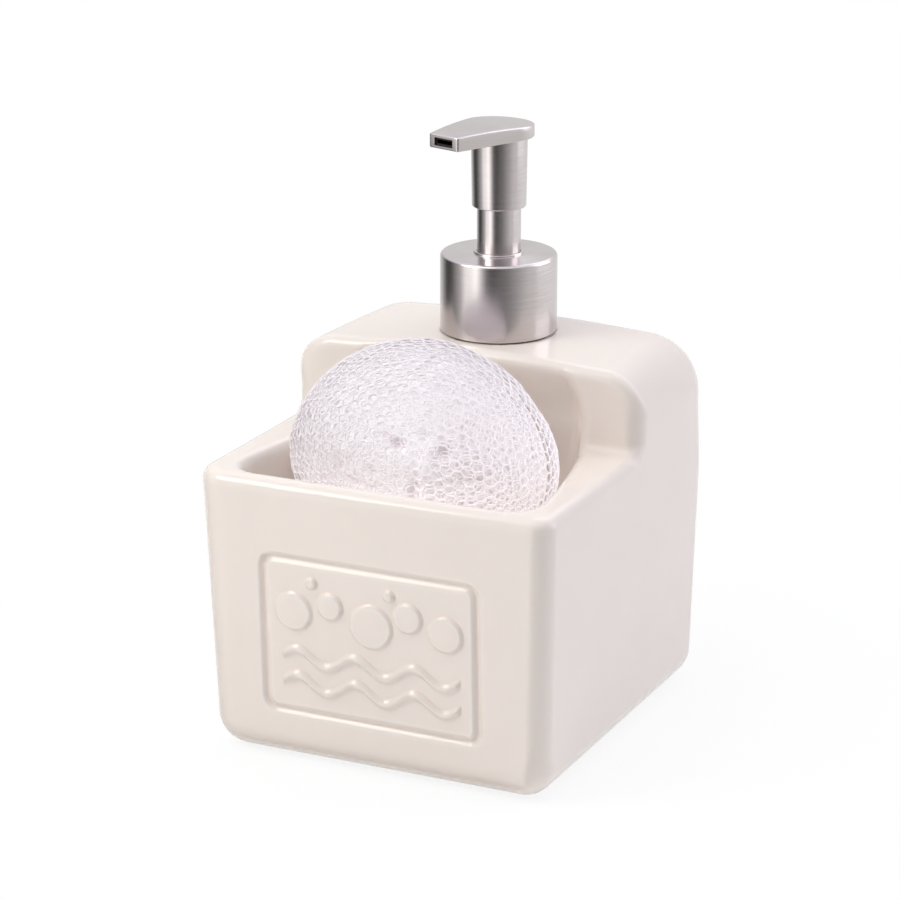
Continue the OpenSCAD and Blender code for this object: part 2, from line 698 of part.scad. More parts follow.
module pump_head() {
    corner_reach = norm([spout_reach, tip_w]) / 2;
    dome_r = (corner_reach * corner_reach + head_crown * head_crown) / (2 * head_crown);
    color("silver") at_spout() difference() {
        intersection() {
            translate([0, 0, head_low]) linear_extrude(head_h + head_crown) head_outline();
            translate([spout_reach / 2, 0, 0]) rotate_extrude($fn = 2 * round_fn) intersection() {
                translate([0, head_top + head_crown - dome_r]) circle(dome_r, $fn = 8 * round_fn);
                translate([0, head_low - over]) square([spout_reach + head_d, head_h + head_crown + 2 * over]);
            }
        }
        translate([0, -mouth_w / 2, mouth_z - mouth_h / 2]) cube([spout_reach + over, mouth_w, mouth_h]);
        translate([0, 0, head_low - over]) cylinder(r = plug_r + fix_gap, h = over + mouth_z + mouth_h / 2 - head_low,
            $fn = round_fn);
    }
}

// The liner that takes the soap from the piston rod to the mouth
module spout_liner() {
    t = mouth_h / 4;
    gap = fix_gap;
    low = head_low - head_h;
    color("black") at_spout() difference() {
        union() {
            translate([0, 0, low]) cylinder(r = plug_r, h = mouth_z + mouth_h / 2 - gap - low, $fn = round_fn);
            translate([0, gap - mouth_w / 2, mouth_z - mouth_h / 2 + gap])
                cube([spout_reach - mouth_recess, mouth_w - 2 * gap, mouth_h - 2 * gap]);
        }
        translate([0, 0, low - over]) cylinder(r = rod_d / 2 + fix_gap, h = over + rod_top + gap - low, $fn = round_fn);
        translate([0, t - mouth_w / 2, mouth_z - mouth_h / 2 + t]) cube([spout_reach, mouth_w - 2 * t, mouth_h - 2 * t]);
        translate([0, 0, rod_top]) cylinder(r = rod_bore_d / 2, h = mouth_h / 2, $fn = round_fn);
    }
}

// Moves its children to the scrubber's middle, leant back
module at_scrubber() {
    translate([0, scrub_y, scrub_z]) rotate([-scrub_lean, 0, 0]) children();
}

module scrubber() {
    color("white") at_scrubber() difference() {
        resize([scrub_w, scrub_t, scrub_h]) sphere(scrub_w / 2, $fn = 2 * hull_fn);
        rotate([90, 0, 0]) translate([0, 0, -scrub_t]) cylinder(d = core_d, h = 2 * scrub_t, $fn = hull_fn);
    }
}

module scrubber_tie() {
    color("white") at_scrubber() rotate([90, 0, 0]) translate([0, 0, -tie_l / 2])
        difference() {
            cylinder(d = core_d - 2 * fix_gap, h = tie_l, $fn = hull_fn);
            translate([0, 0, -over]) cylinder(d = core_d / 2, h = tie_l + 2 * over, $fn = hull_fn);
        }
}

ceramic_body();
insert_seal();
neck_insert();
collar();
collar_liner();
neck_gasket();
pump_barrel();
lock_ring();
guide_tube();
ball_cage();
inlet_ball();
dip_tube();
spring();
piston();
piston_rod();
outlet_ball();
sleeve();
pump_head();
spout_liner();
scrubber();
scrubber_tie();
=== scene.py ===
"""Looks of a soap pump caddy: a glazed ceramic reservoir with a tray, a brushed metal
pump and a net scrubber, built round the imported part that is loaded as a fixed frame.
Shapes are worked out in millimetres and made in metres."""

import json
import math
from functools import partial

import bmesh
import bpy
import numpy as np
from bpy.props import FloatProperty, FloatVectorProperty, IntProperty, PointerProperty
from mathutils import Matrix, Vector

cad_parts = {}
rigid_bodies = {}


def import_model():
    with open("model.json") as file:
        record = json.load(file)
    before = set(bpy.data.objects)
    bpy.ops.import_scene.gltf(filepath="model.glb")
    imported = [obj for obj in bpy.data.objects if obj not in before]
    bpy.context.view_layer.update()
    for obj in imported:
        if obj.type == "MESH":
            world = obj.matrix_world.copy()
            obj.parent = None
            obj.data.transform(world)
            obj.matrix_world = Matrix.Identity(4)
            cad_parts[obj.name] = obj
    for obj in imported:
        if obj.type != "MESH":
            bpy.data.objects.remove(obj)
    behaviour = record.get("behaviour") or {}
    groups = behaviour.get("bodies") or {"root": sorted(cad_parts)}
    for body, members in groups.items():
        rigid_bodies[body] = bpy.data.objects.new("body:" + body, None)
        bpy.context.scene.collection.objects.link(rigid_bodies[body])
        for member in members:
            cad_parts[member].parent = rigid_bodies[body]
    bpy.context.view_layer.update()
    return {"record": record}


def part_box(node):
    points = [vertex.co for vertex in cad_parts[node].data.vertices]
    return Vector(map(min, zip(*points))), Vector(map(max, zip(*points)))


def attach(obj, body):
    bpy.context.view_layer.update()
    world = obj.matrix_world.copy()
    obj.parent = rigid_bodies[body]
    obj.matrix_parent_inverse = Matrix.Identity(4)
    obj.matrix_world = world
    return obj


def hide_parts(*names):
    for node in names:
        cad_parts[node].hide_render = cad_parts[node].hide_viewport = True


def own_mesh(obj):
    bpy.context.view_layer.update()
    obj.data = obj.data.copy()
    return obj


bl_info = {
    "name": "Soap pump caddy",
    "version": (1, 0, 0),
    "blender": (4, 5, 0),
    "location": "3D View > Sidebar > Caddy",
    "description": "Builds a soap pump caddy: its glazed body, metal pump and net scrubber",
    "category": "Add Mesh",
}

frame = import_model()
MM = 0.001


def linear(code):
    """Linear RGB of an sRGB hex colour."""
    parts = [int(code[i : i + 2], 16) / 255 for i in (1, 3, 5)]
    return tuple(c / 12.92 if c <= 0.04045 else ((c + 0.055) / 1.055) ** 2.4 for c in parts)


def length(name, description, millimetres):
    size = millimetres * MM
    return FloatProperty(name=name, description=description, default=size, unit="LENGTH")


def colour(name, description, code):
    tint = {"default": linear(code), "subtype": "COLOR", "min": 0, "max": 1}
    return FloatVectorProperty(name=name, description=description, **tint)


def node_span(node, axis):
    """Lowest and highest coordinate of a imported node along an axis, in millimetres."""
    low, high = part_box(node)
    return low[axis] / MM, high[axis] / MM


BODY_X, BODY_Y = (node_span("ceramic_body", axis) for axis in (0, 1))
COLLAR_X, COLLAR_Y, COLLAR_Z = (node_span("collar", axis) for axis in range(3))
TUBE_Z, SLEEVE_Z, HEAD_Z = (node_span(n, 2) for n in ("guide_tube", "sleeve", "pump_head"))
PUMP_Y = sum(COLLAR_Y) / 2
# Millimetres along a metal piece for one unit of its map
MAP_UNIT = 60


class CeramicSettings(bpy.types.PropertyGroup):
    """Sizes and colours of the glazed body"""

    tray_h: length("Tray height", "Height of the tray's rim above the base", 79.5)
    tank_h: length("Tank height", "Height of the tank's top edge above the base", 101.5)
    tank_front: length("Tank front", "Place of the tank's front plane", 3.75)
    crown: length("Crown", "Rise of the tank's top towards the pump", 1.6)
    edge_r: length("Upright edges", "Radius of the upright edges", 8.5)
    corner_r: length("Tank corners", "Radius of the tank's upper corners in front", 12)
    front_r: length("Tank front edge", "Radius of the tank's upright front edges", 5)
    rim_r: length("Rim roundness", "Radius on both sides of the tray's rim", 3.3)
    lip_r: length("Lip roundness", "Radius of the recess's soft lip at the top", 5.4)
    fillet_r: length("Shoulder fillet", "Radius between the rim and the tank", 3.2)
    groove: length("Groove depth", "Depth of the groove round the front panel", 1.0)
    relief: length("Relief height", "Height of the raised bubbles and waves", 1.0)
    mesh_step: length("Mesh step", "Distance between points on the plain surfaces", 1.3)
    glaze: colour("Glaze", "Cream glaze where it lies evenly", "#EFE6DC")
    glaze_deep: colour("Pooled glaze", "Glaze where it pools in hollows", "#EFE2D6")
    glaze_thin: colour("Thin glaze", "Glaze where it runs thin over edges", "#F0E9E0")
    bisque: colour("Bisque", "Unglazed clay under the foot", "#E4DACB")


class MetalSettings(bpy.types.PropertyGroup):
    """Finish of the pump's metal"""

    steel: colour("Steel", "Colour of the brushed steel", "#D1CAC9")
    edge_r: length("Edge roundness", "Radius of the metal's outer edges", 0.8)
    brush: length("Brush marks", "Spacing of the brush marks", 0.22)
    segments: IntProperty(
        name="Segments", description="Faces round a turned piece", default=160, min=48
    )


class NetSettings(bpy.types.PropertyGroup):
    """Sizes and colour of the net scrubber"""

    thread: length("Thread", "Thickness of a net thread", 0.48)
    cell: length("Cell", "Width of a net cell", 2.75)
    layers: IntProperty(name="Layers", description="Layers of net", default=3, min=1)
    seed: IntProperty(name="Seed", description="Seed of the folds", default=5)
    white: colour("Nylon", "Colour of the nylon net", "#FCF7FA")


class PumpSettings(bpy.types.PropertyGroup):
    """Colours of the pump's working parts"""

    plastic: colour("Natural plastic", "Colour of the polypropylene parts", "#E9E7DF")
    black: colour("Black plastic", "Colour of the spout's liner", "#0B0B0C")
    rubber: colour("Rubber", "Colour of the seals", "#2A2A2B")
    wire: colour("Spring steel", "Colour of the spring and the balls", "#BDBDBE")
    wire_d: length("Spring wire", "Thickness of the spring's wire", 0.9)
    turns: IntProperty(name="Turns", description="Open turns of the spring", default=6)


class StageSettings(bpy.types.PropertyGroup):
    """Light and floor of the studio"""

    light: FloatProperty(
        name="Light", description="Share of the full studio light", default=1.0, min=0
    )
    shadow: FloatProperty(
        name="Shadow", description="How much of the shadow shows", default=0.13, min=0
    )
    floor: colour("Floor", "Colour of the floor", "#FFFFFF")


def add(tree, kind, *values, stops=(), **named):
    """Adds a node and returns it. Values fill its sockets in use, in order. A name with a
    capital is a socket's, with _ for a space, and any other is the node's own setting. A
    node stands for its first output in use, and stops are a ramp's places and colours."""
    node = tree.nodes.new(kind if "Node" in kind else "ShaderNode" + kind)
    own = {name: value for name, value in named.items() if name[0].islower()}
    for name, value in own.items():
        setattr(node, name, value)
    sockets = [s for s in node.inputs if s.enabled]
    called = {s.name.replace(" ", "_"): s for s in reversed(sockets)}
    given = [(called[name], value) for name, value in named.items() if name not in own]
    for socket, value in (*zip(sockets, values), *given):
        if isinstance(value, bpy.types.Node):
            value = next(s for s in value.outputs if s.enabled)
        if isinstance(value, bpy.types.NodeSocket):
            tree.links.new(value, socket)
        else:
            socket.default_value = (*value, 1) if socket.type == "RGBA" else value
    marks = node.color_ramp.elements if stops else ()
    while len(marks) < len(stops):
        marks.new(0.5)
    for mark, (place, tint) in zip(marks, stops):
        mark.position, mark.color = place, (*tint, 1)
    return node


def new_material(name):
    """A node material without nodes, the function that adds its nodes, and places in the
    piece's own coordinates."""
    material = bpy.data.materials.new(name)
    material.use_nodes = True
    material.node_tree.nodes.clear()
    node = partial(add, material.node_tree)
    return material, node, node("TexCoord").outputs["Object"]


def darker(tint, share):
    return [share * c for c in tint]


def mottled(node, place, tint, darkest, scale, detail):
    """A colour with clouds of a darker share of itself, and the clouds: scale is how many
    of them lie along a metre."""
    cloud = node("TexNoise", Vector=place, Scale=scale, Detail=detail)
    return node("Mix", cloud, tint, darker(tint, darkest), data_type="RGBA"), cloud


def new_piece(name, points, faces, material=None, edges=()):
    """A mesh object from points in millimetres."""
    mesh = bpy.data.meshes.new(name)
    mesh.from_pydata([tuple(p) for p in np.asarray(points) * MM], list(edges), faces)
    mesh.validate()
    mesh.update()
    piece = bpy.data.objects.new(name, mesh)
    bpy.context.scene.collection.objects.link(piece)
    if material:
        mesh.materials.append(material)
    return piece


def seat(piece, body, slot, *nodes):
    """Rides the finished piece on a body in place of the nodes it stands for."""
    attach(piece, body)
    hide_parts(*nodes)


def bearing(azimuth, elevation):
    """The direction at these degrees: azimuth 0 is ahead of the tray, 90 its right."""
    a, e = math.radians(azimuth), math.radians(elevation)
    return Vector((math.sin(a) * math.cos(e), -math.cos(a) * math.cos(e), math.sin(e)))


def look_back(thing, way):
    """Turns a camera or lamp that stands in a direction to face the other way."""
    thing.rotation_mode = "QUATERNION"
    thing.rotation_quaternion = (-way).to_track_quat("-Z", "Y")


# Distances to rounded forms, in millimetres: below zero is inside


def round_meet(a, b, r):
    """Both forms together, where they cut, with the outer edge rounded."""
    beyond = np.hypot(np.maximum(a + r, 0), np.maximum(b + r, 0))
    return np.minimum(np.maximum(a, b), -r) + beyond


def round_join(a, b, r):
    """One form grown onto the other, with the inner corner filled round."""
    within = np.hypot(np.maximum(r - a, 0), np.maximum(r - b, 0))
    return np.maximum(np.minimum(a, b), r) - within


def rounded_box(u, v, half_u, low_v, high_v, r):
    """A rectangle with rounded corners, centred in u."""
    a = np.abs(u) - half_u + r
    b = np.abs(v - (low_v + high_v) / 2) - (high_v - low_v) / 2 + r
    beyond = np.hypot(np.maximum(a, 0), np.maximum(b, 0))
    return np.minimum(np.maximum(a, b), 0) + beyond - r


def ease(x):
    x = np.clip(x, 0, 1)
    return x * x * (3 - 2 * x)


class Shell:
    """The ceramic body as a distance, with its walls, tray, recess and soap room."""

    half = 52.0
    wall, tray_wall, tray_depth = 5.0, 7.0, 35.0
    side_draft, front_draft, back_draft, tray_draft = 2.9, 3.9, 0.3, 1.5
    # The tray's sides turn in towards the recess from here, through a bend of this radius
    slant_from, slant_r = -19.0, 18.0
    niche_depth, niche_half, niche_r, niche_drop = 5.6, 35.2, 14.0, 2.4
    # The bowl's back corners are wider below the rim by the second, over the third
    back_corner, back_corner_more, back_corner_run = 3.4, 8.6, 24
    bowl_front_r, bowl_floor_r = 10.0, 9.0
    lip_run = 8
    # Changes of an edge's radius: how much, from which height, over which distance
    corner_more = 4.0
    right_fine, right_run = 3.0, 16
    top_fine, top_from, top_run = 2.2, 88, 10
    back_more, back_from, back_run = 4.5, 60, 30
    foot_r, hole_r, hole_edge = 9.4, 13.5, 0.3
    seat_r, seat_depth = 14.7, 1.6
    flat_r, crown_run = 17, 34
    # Forms run on into each other: the plan at the back, the tray and fillet into the tank
    plan_lap, tray_lap, fillet_lap, tank_lap, spare = 20, 14, 12, 60, 0.4
    soap_r, soap_floor, soap_floor_r, soap_tank_r = 3.5, 6.0, 2.0, 3.0
    panel_w, panel_low, panel_h, panel_r = 64.0, 14.4, 45.5, 3.2
    groove_w, groove_soft, groove_room = 2.4, 0.5, 4.4
    # Bubbles as (across, up, radius) and waves as a height, in shares of the panel's inside
    bubbles = (
        (-0.37, 0.17, 0.14), (-0.19, 0.24, 0.10), (0.01, 0.15, 0.16), (0.19, 0.25, 0.11),
        (0.37, 0.18, 0.13), (-0.28, 0.38, 0.05), (0.10, 0.38, 0.05),
    )
    waves = (-0.14, -0.32)
    bubble_soft, bubble_flat, wave_half, wave_end = 1.1, 0.72, 1.9, 1.5

    def __init__(self, settings):
        for name in CeramicSettings.__annotations__:
            value = getattr(settings, name)
            if isinstance(value, float):
                setattr(self, name, value / MM)
        self.front, self.back = BODY_Y
        self.seat_z = self.tank_h + self.crown
        self.panel_mid = self.panel_low + self.panel_h / 2

    def design(self, u, v):
        """Height of the panel's groove, bubbles and waves over the plain front."""
        r = self.groove_w / 2
        half_w, half_h = self.panel_w / 2 - r, self.panel_h / 2 - r
        line = rounded_box(u, v, half_w, -half_h, half_h, self.panel_r)
        groove = self.groove * (1 - ease(np.abs(line) / (r + self.groove_soft)))
        high = np.zeros_like(u)
        inner_w, inner_h = self.panel_w - self.groove_room, self.panel_h - self.groove_room
        for x, y, size in self.bubbles:
            d = np.hypot(u - x * inner_w, v - y * inner_h) / (size * inner_h)
            dome = self.bubble_flat + (1 - self.bubble_flat) * (1 - np.minimum(d, 1) ** 2)
            dome = ease((1 - d) * size * inner_h / self.bubble_soft) * dome
            high = np.maximum(high, self.relief * dome)
        for y in self.waves:
            swing = np.sin(6 * math.pi * (u / (0.86 * inner_w) + 0.5))
            across = np.abs(v - (y * inner_h + 0.05 * inner_h * swing)) / self.wave_half
            along = (0.43 * inner_w - np.abs(u)) / self.wave_end
            high = np.maximum(high, self.relief * ease(1 - across) * ease(along + 0.5))
        return high - groove

    def outside(self, x, y, z, with_design):
        """The closed outer form, and the places of its side, front and back."""
        rise = 1 - z / self.tank_h
        side = self.half - self.side_draft * rise
        front = self.front + self.front_draft * (self.tray_h - z) / self.tank_h
        back = self.back - self.back_draft * rise
        edge_r = self.edge_r - self.right_fine * (x > 0) * ease(z / self.right_run)
        plan = rounded_box(x, y, side, front, back + self.plan_lap, edge_r)
        if with_design:
            near = y < self.front + self.edge_r
            lift = np.zeros_like(x)
            lift[near] = self.design(x[near], z[near] - self.panel_mid)
            plan = plan - lift
        tray = round_meet(plan, z - self.tray_h, self.rim_r)
        tray = np.maximum(tray, y - self.tank_front - self.tray_lap)
        off = np.hypot(x, y - PUMP_Y)
        top = self.tank_h + self.crown * (1 - ease((off - self.flat_r) / self.crown_run))
        depth = (y - self.tank_front) / (back - self.tank_front)
        corner = self.corner_r + self.corner_more * ease(depth)
        gable = rounded_box(x, z, side, -self.tank_lap, top, corner)
        soft = self.edge_r + self.back_more * ease((z - self.back_from) / self.back_run)
        tank = round_meet(gable, y - back, soft)
        arris = self.front_r - self.top_fine * ease((z - self.top_from) / self.top_run)
        tank = round_meet(tank, self.tank_front - y, arris)
        above = z - self.tray_h
        step = round_join(above, self.tank_front - y, self.fillet_r)
        edge = self.rim_r + (self.front_r - self.rim_r) * ease(above / self.fillet_r)
        fill = round_meet(np.abs(x) - side, step, edge)
        fill = np.maximum(fill, above - self.fillet_r - self.spare)
        reach = self.tank_front - self.fillet_r - self.spare
        within = np.maximum(y - self.tank_front - self.fillet_lap, reach - y)
        body = np.minimum(np.minimum(tray, tank), np.maximum(fill, within))
        return round_meet(body, -z, self.foot_r), side, front, back

    def room(self, x, y, z):
        """The tray's bowl, which narrows to the tank and runs up it as a recess."""
        share = np.clip((self.tray_h - z) / self.tray_depth, 0, 1.2)
        inset = self.tray_draft * share
        half = self.half - self.side_draft * (1 - self.tray_h / self.tank_h)
        half = half - self.tray_wall
        run = np.array([self.tank_front - self.slant_from, half - self.niche_half])
        run = run / np.hypot(*run)
        slant = (np.abs(x) - half) * run[0] + (y - self.slant_from) * run[1] + inset
        sides = round_meet(np.abs(x) - half + inset, slant, self.slant_r)
        back = y - self.tank_front - self.niche_depth + inset
        low = ease((self.tray_h + 4 - z) / self.back_corner_run)
        bowl = round_meet(sides, back, self.back_corner + self.back_corner_more * low)
        front = self.front + self.tray_wall + inset - y
        bowl = round_meet(bowl, front, self.bowl_front_r)
        bowl = round_meet(bowl, self.tray_h - self.tray_depth - z, self.bowl_floor_r)
        return round_meet(bowl, z - self.tank_h + self.niche_drop, self.niche_r)

    def soap_room(self, x, y, z, side, front, back):
        t = self.wall
        low = rounded_box(x, y, side - t, front + t, back - t, self.soap_r)
        low = round_meet(low, z - (self.tray_h - self.tray_depth - t), self.soap_floor_r)
        top, corner = self.tank_h - t, self.corner_r - t
        high = rounded_box(x, z, side - t, -self.tank_lap, top, corner)
        high = round_meet(high, y - back + t, self.soap_tank_r)
        ahead = self.tank_front + self.niche_depth + t - y
        high = round_meet(high, ahead, self.soap_tank_r)
        return round_meet(np.minimum(low, high), self.soap_floor - z, self.soap_floor_r)

    def distance(self, p, with_design=True):
        x, y, z = p[..., 0], p[..., 1], p[..., 2]
        body, side, front, back = self.outside(x, y, z, with_design)
        soap = self.soap_room(x, y, z, side, front, back)
        hollow = np.maximum(soap, body + 0.8 * self.wall)
        rise = ease((z - self.tray_h) / self.lip_run)
        lip = self.rim_r + (self.lip_r - self.rim_r) * rise
        body = np.maximum(round_meet(body, -self.room(x, y, z), lip), -hollow)
        off = np.hypot(x, y - PUMP_Y)
        hole = np.maximum(off - self.hole_r, self.tank_h - 2 * self.wall - z)
        seat_room = np.maximum(off - self.seat_r, self.seat_z - self.seat_depth - z)
        return round_meet(body, -np.minimum(hole, seat_room), self.hole_edge)

    def gradient(self, p, with_design=True, reach=0.04):
        parts = []
        for axis in np.eye(3) * reach:
            low, high = (self.distance(p + a, with_design) for a in (-axis, axis))
            parts.append(high - low)
        return np.stack(parts, -1) / (2 * reach)

    def settle(self, p, with_design=True, turns=4, most=0.7):
        """Moves points onto the surface."""
        for _ in range(turns):
            slope = self.gradient(p, with_design)
            steep = np.maximum((slope**2).sum(-1), 0.2)
            move = self.distance(p, with_design) / steep
            p = p - slope * np.clip(move, -most, most)[:, None]
        return p


def surface_net(distance, low, high, step):
    """Points and four-sided faces of the surface where distance is zero."""
    axes = [np.arange(a, b + step, step) for a, b in zip(low, high)]
    grid = np.stack(np.meshgrid(*axes, indexing="ij"), -1)
    value = distance(grid.reshape(-1, 3)).reshape(grid.shape[:3])
    inside = value < 0
    cells = tuple(n - 1 for n in value.shape)
    total, count = np.zeros(cells + (3,)), np.zeros(cells)

    def shifted(cross, first, second, s, t):
        cell = cross.copy()
        cell[:, first] -= s
        cell[:, second] -= t
        return cell

    crossings = []
    for axis in range(3):
        near, far = [slice(None)] * 3, [slice(None)] * 3
        near[axis], far[axis] = slice(None, -1), slice(1, None)
        near, far = tuple(near), tuple(far)
        cross = np.argwhere(inside[near] != inside[far])
        a, b = value[near][tuple(cross.T)], value[far][tuple(cross.T)]
        at = grid[tuple(cross.T)].copy()
        at[:, axis] += step * a / (a - b)
        crossings.append((axis, cross, a < 0))
        first, second = (i for i in range(3) if i != axis)
        for s, t in ((0, 0), (0, 1), (1, 0), (1, 1)):
            cell = shifted(cross, first, second, s, t)
            ok = ((cell >= 0) & (cell < cells)).all(1)
            np.add.at(total, tuple(cell[ok].T), at[ok])
            np.add.at(count, tuple(cell[ok].T), 1)
    used = count > 0
    number = np.full(cells, -1)
    number[used] = np.arange(used.sum())
    faces = []
    for axis, cross, starts_inside in crossings:
        turn = (axis + 1) % 3, (axis + 2) % 3
        corners = (shifted(cross, *turn, s, t) for s, t in ((1, 1), (0, 1), (0, 0), (1, 0)))
        ring = np.stack([number[tuple(cell.T)] for cell in corners], 1)
        faces.append(np.where(starts_inside[:, None], ring, ring[:, ::-1]))
    return total[used] / count[used][:, None], np.concatenate(faces)


def store(mesh, name, values, kind="FLOAT"):
    """A number or a vector for each point that the material reads."""
    field = "value" if kind == "FLOAT" else "vector"
    data = mesh.attributes.new(name, kind, "POINT").data
    data.foreach_set(field, np.ravel(values).astype(np.float32))


def apply_modifiers(piece):
    """Gives the piece the mesh that its modifiers make, and removes them."""
    made = piece.evaluated_get(bpy.context.evaluated_depsgraph_get())
    mesh = bpy.data.meshes.new_from_object(made)
    piece.modifiers.clear()
    piece.data = mesh


def weave(piece, thread, sides, material):
    """Turns a piece's edges into round threads with a node tree."""
    tree = bpy.data.node_groups.new("Round threads", "GeometryNodeTree")
    for way, name, kind in (
        ("INPUT", "Geometry", "Geometry"),
        ("INPUT", "Thread", "Float"),
        ("INPUT", "Sides", "Int"),
        ("OUTPUT", "Geometry", "Geometry"),
    ):
        tree.interface.new_socket(name, in_out=way, socket_type="NodeSocket" + kind)
    node = partial(add, tree)
    given = node("NodeGroupInput").outputs
    path = node("GeometryNodeMeshToCurve", given["Geometry"])
    half = node("Math", given["Thread"], 2.0, operation="DIVIDE")
    ring = node("GeometryNodeCurvePrimitiveCircle", Resolution=given["Sides"], Radius=half)
    threads = node("GeometryNodeCurveToMesh", path, ring, Fill_Caps=True)
    real = node("GeometryNodeRealizeInstances", threads)
    done = node("GeometryNodeSetMaterial", Geometry=real, Material=material)
    node("NodeGroupOutput", done)
    modifier = piece.modifiers.new("threads", "NODES")
    modifier.node_group = tree
    values = {"Thread": thread, "Sides": sides}
    for item in tree.interface.items_tree:
        if item.in_out == "INPUT" and item.name in values:
            modifier[item.identifier] = values[item.name]
    apply_modifiers(piece)


def glaze_material(settings):
    """Glossy lead-free cream glaze over fired clay, dipped and fired: even and wet-looking,
    a little deeper in hollows, thinner and paler over edges, with a faint orange peel."""
    material, node, place = new_material("Cream glazed stoneware")
    hollow = node("Attribute", attribute_name="hollow").outputs["Fac"]
    # clouds of thicker glaze about 25 mm across
    clouds = node("TexNoise", Vector=place, Scale=40.0, Detail=3.0)
    thicker = node("MapRange", Value=clouds, From_Min=0.35, From_Max=0.65)
    pooled = node("MapRange", Value=hollow, From_Min=0.05, From_Max=1.0, To_Max=0.45)
    thin = node("MapRange", Value=hollow, From_Min=-0.05, From_Max=-0.8, To_Max=0.5)
    # the foot is wiped clean of glaze before firing
    height = node("SeparateXYZ", place).outputs["Z"]
    foot = node("MapRange", Value=height, From_Min=0.5 * MM, From_Max=0.15 * MM)
    # grains of clay about 1.1 mm across
    clay, _ = mottled(node, place, settings.bisque, 0.86, 900.0, 4.0)
    tint = node("Mix", thicker, settings.glaze, darker(settings.glaze, 0.985), data_type="RGBA")
    tint = node("Mix", pooled, tint, settings.glaze_deep, data_type="RGBA")
    tint = node("Mix", thin, tint, settings.glaze_thin, data_type="RGBA")
    tint = node("Mix", foot, tint, clay, data_type="RGBA")
    gloss = node("MapRange", Value=clouds, To_Min=0.09, To_Max=0.15)
    rough = node("MapRange", Value=foot, To_Min=gloss, To_Max=0.75)
    # orange peel about 4 mm across and a few micrometres deep
    peel = node("TexNoise", Vector=place, Scale=240.0, Detail=1.0)
    bump = node("Bump", Height=peel, Strength=0.12, Distance=0.06 * MM)
    shader = node(
        "BsdfPrincipled",
        Base_Color=tint,
        Roughness=rough,
        Normal=bump,
        IOR=1.5,
        Subsurface_Weight=0.12,
        Subsurface_Radius=(1.0, 0.75, 0.55),
        Subsurface_Scale=1.5 * MM,
    )
    node("OutputMaterial", shader)
    return material


def steel_material(settings):
    """Stainless steel brushed on a lathe: fine rings round the piece, soft long
    highlights along it, and slightly uneven sheen."""
    material, node, place = new_material("Brushed stainless steel")
    # marks run fifty times further round the piece than they are wide
    fine = 1 / settings.brush
    marks = node("Mapping", Vector=place, Scale=(0.02 * fine, 0.02 * fine, fine))
    rings = node("TexNoise", Vector=marks, Scale=1.0, Detail=3.0, Roughness=0.6)
    stops = ((0.3, darker(settings.steel, 0.9)), (0.7, settings.steel))
    shade = node("ValToRGB", rings, stops=stops)
    rough = node("MapRange", Value=rings, To_Min=0.18, To_Max=0.28)
    bump = node("Bump", Height=rings, Strength=0.25, Distance=0.02 * MM)
    tangent = node("Tangent", direction_type="UV_MAP", uv_map="around")
    shader = node(
        "BsdfPrincipled",
        Base_Color=shade,
        Metallic=1.0,
        Roughness=rough,
        Anisotropic=0.7,
        Anisotropic_Rotation=0.25,
        Tangent=tangent,
        Normal=bump,
    )
    node("OutputMaterial", shader)
    return material


def plain_material(name, tint, rough, grain, scale, **more):
    """A moulded or formed material: nearly even colour and roughness, and a fine grain
    3.3 mm wide or less."""
    material, node, place = new_material(name)
    tint, cloud = mottled(node, place, tint, 0.96, scale, 3.0)
    gloss = node("MapRange", Value=cloud, To_Min=0.85 * rough, To_Max=1.15 * rough)
    bump = node("Bump", Height=cloud, Strength=grain, Distance=0.05 * MM)
    shader = node("BsdfPrincipled", Base_Color=tint, Roughness=gloss, Normal=bump, **more)
    node("OutputMaterial", shader)
    return material


def painted_glow(node, place, most):
    """Painted glow: emission that lights the net down and to the right, where the tray and
    the tank shade it: none at 105 mm along that way, and most from 64 mm down."""
    along = node("VectorMath", place, (-0.5, 0.0, 1.0), operation="DOT_PRODUCT")
    return node("MapRange", Value=along, From_Min=0.105, From_Max=0.064, To_Max=most)


def net_tint_and_shade(node, place, settings, gap):
    """The nylon's colour, with clouds of a little less white, and painted shade: grey in the
    gaps by the share gap, grey-brown in the creases and on the deeper layers at the right.
    """
    # clouds about 1.4 mm across, half a cell
    tint, _ = mottled(node, place, settings.white, 0.97, 700.0, 2.0)
    shade = node("Attribute", attribute_name="shade").outputs["Fac"]
    # painted shade: grey in the gaps, grey-brown in the creases and on the deeper layers at the
    # right
    for share, over in ((gap, (0.87, 0.86, 0.88)), (shade, (0.74, 0.7, 0.68))):
        tint = node("Mix", share, tint, over, data_type="RGBA", blend_type="MULTIPLY")
    return tint


def net_material(settings):
    """White nylon net: satin threads that let light through, with a painted glow where the
    tray and the tank shade them.
    """
    material, node, place = new_material("White nylon net")
    tint = net_tint_and_shade(node, place, settings, 0.0)
    # light spreads between neighbouring threads, so they share the layer's shading
    out = node("Attribute", attribute_name="out").outputs["Vector"]
    own = node("NewGeometry").outputs["Normal"]
    scaled = node("VectorMath", out, 1.6, operation="SCALE")
    shared = node("VectorMath", scaled, own, operation="ADD")
    normal = node("VectorMath", shared, operation="NORMALIZE")
    thread = node(
        "BsdfPrincipled",
        Base_Color=tint,
        Roughness=0.42,
        IOR=1.53,
        # painted glow, brightest where the tray and the tank shade the net
        Emission_Color=tint,
        Emission_Strength=painted_glow(node, place, 0.76),
    )
    even = node("BsdfDiffuse", Color=tint, Normal=normal)
    glow = node("BsdfTranslucent", Color=tint)
    soft = node("MixShader", 0.25, even, glow)
    node("OutputMaterial", node("MixShader", 0.4, soft, thread))
    return material


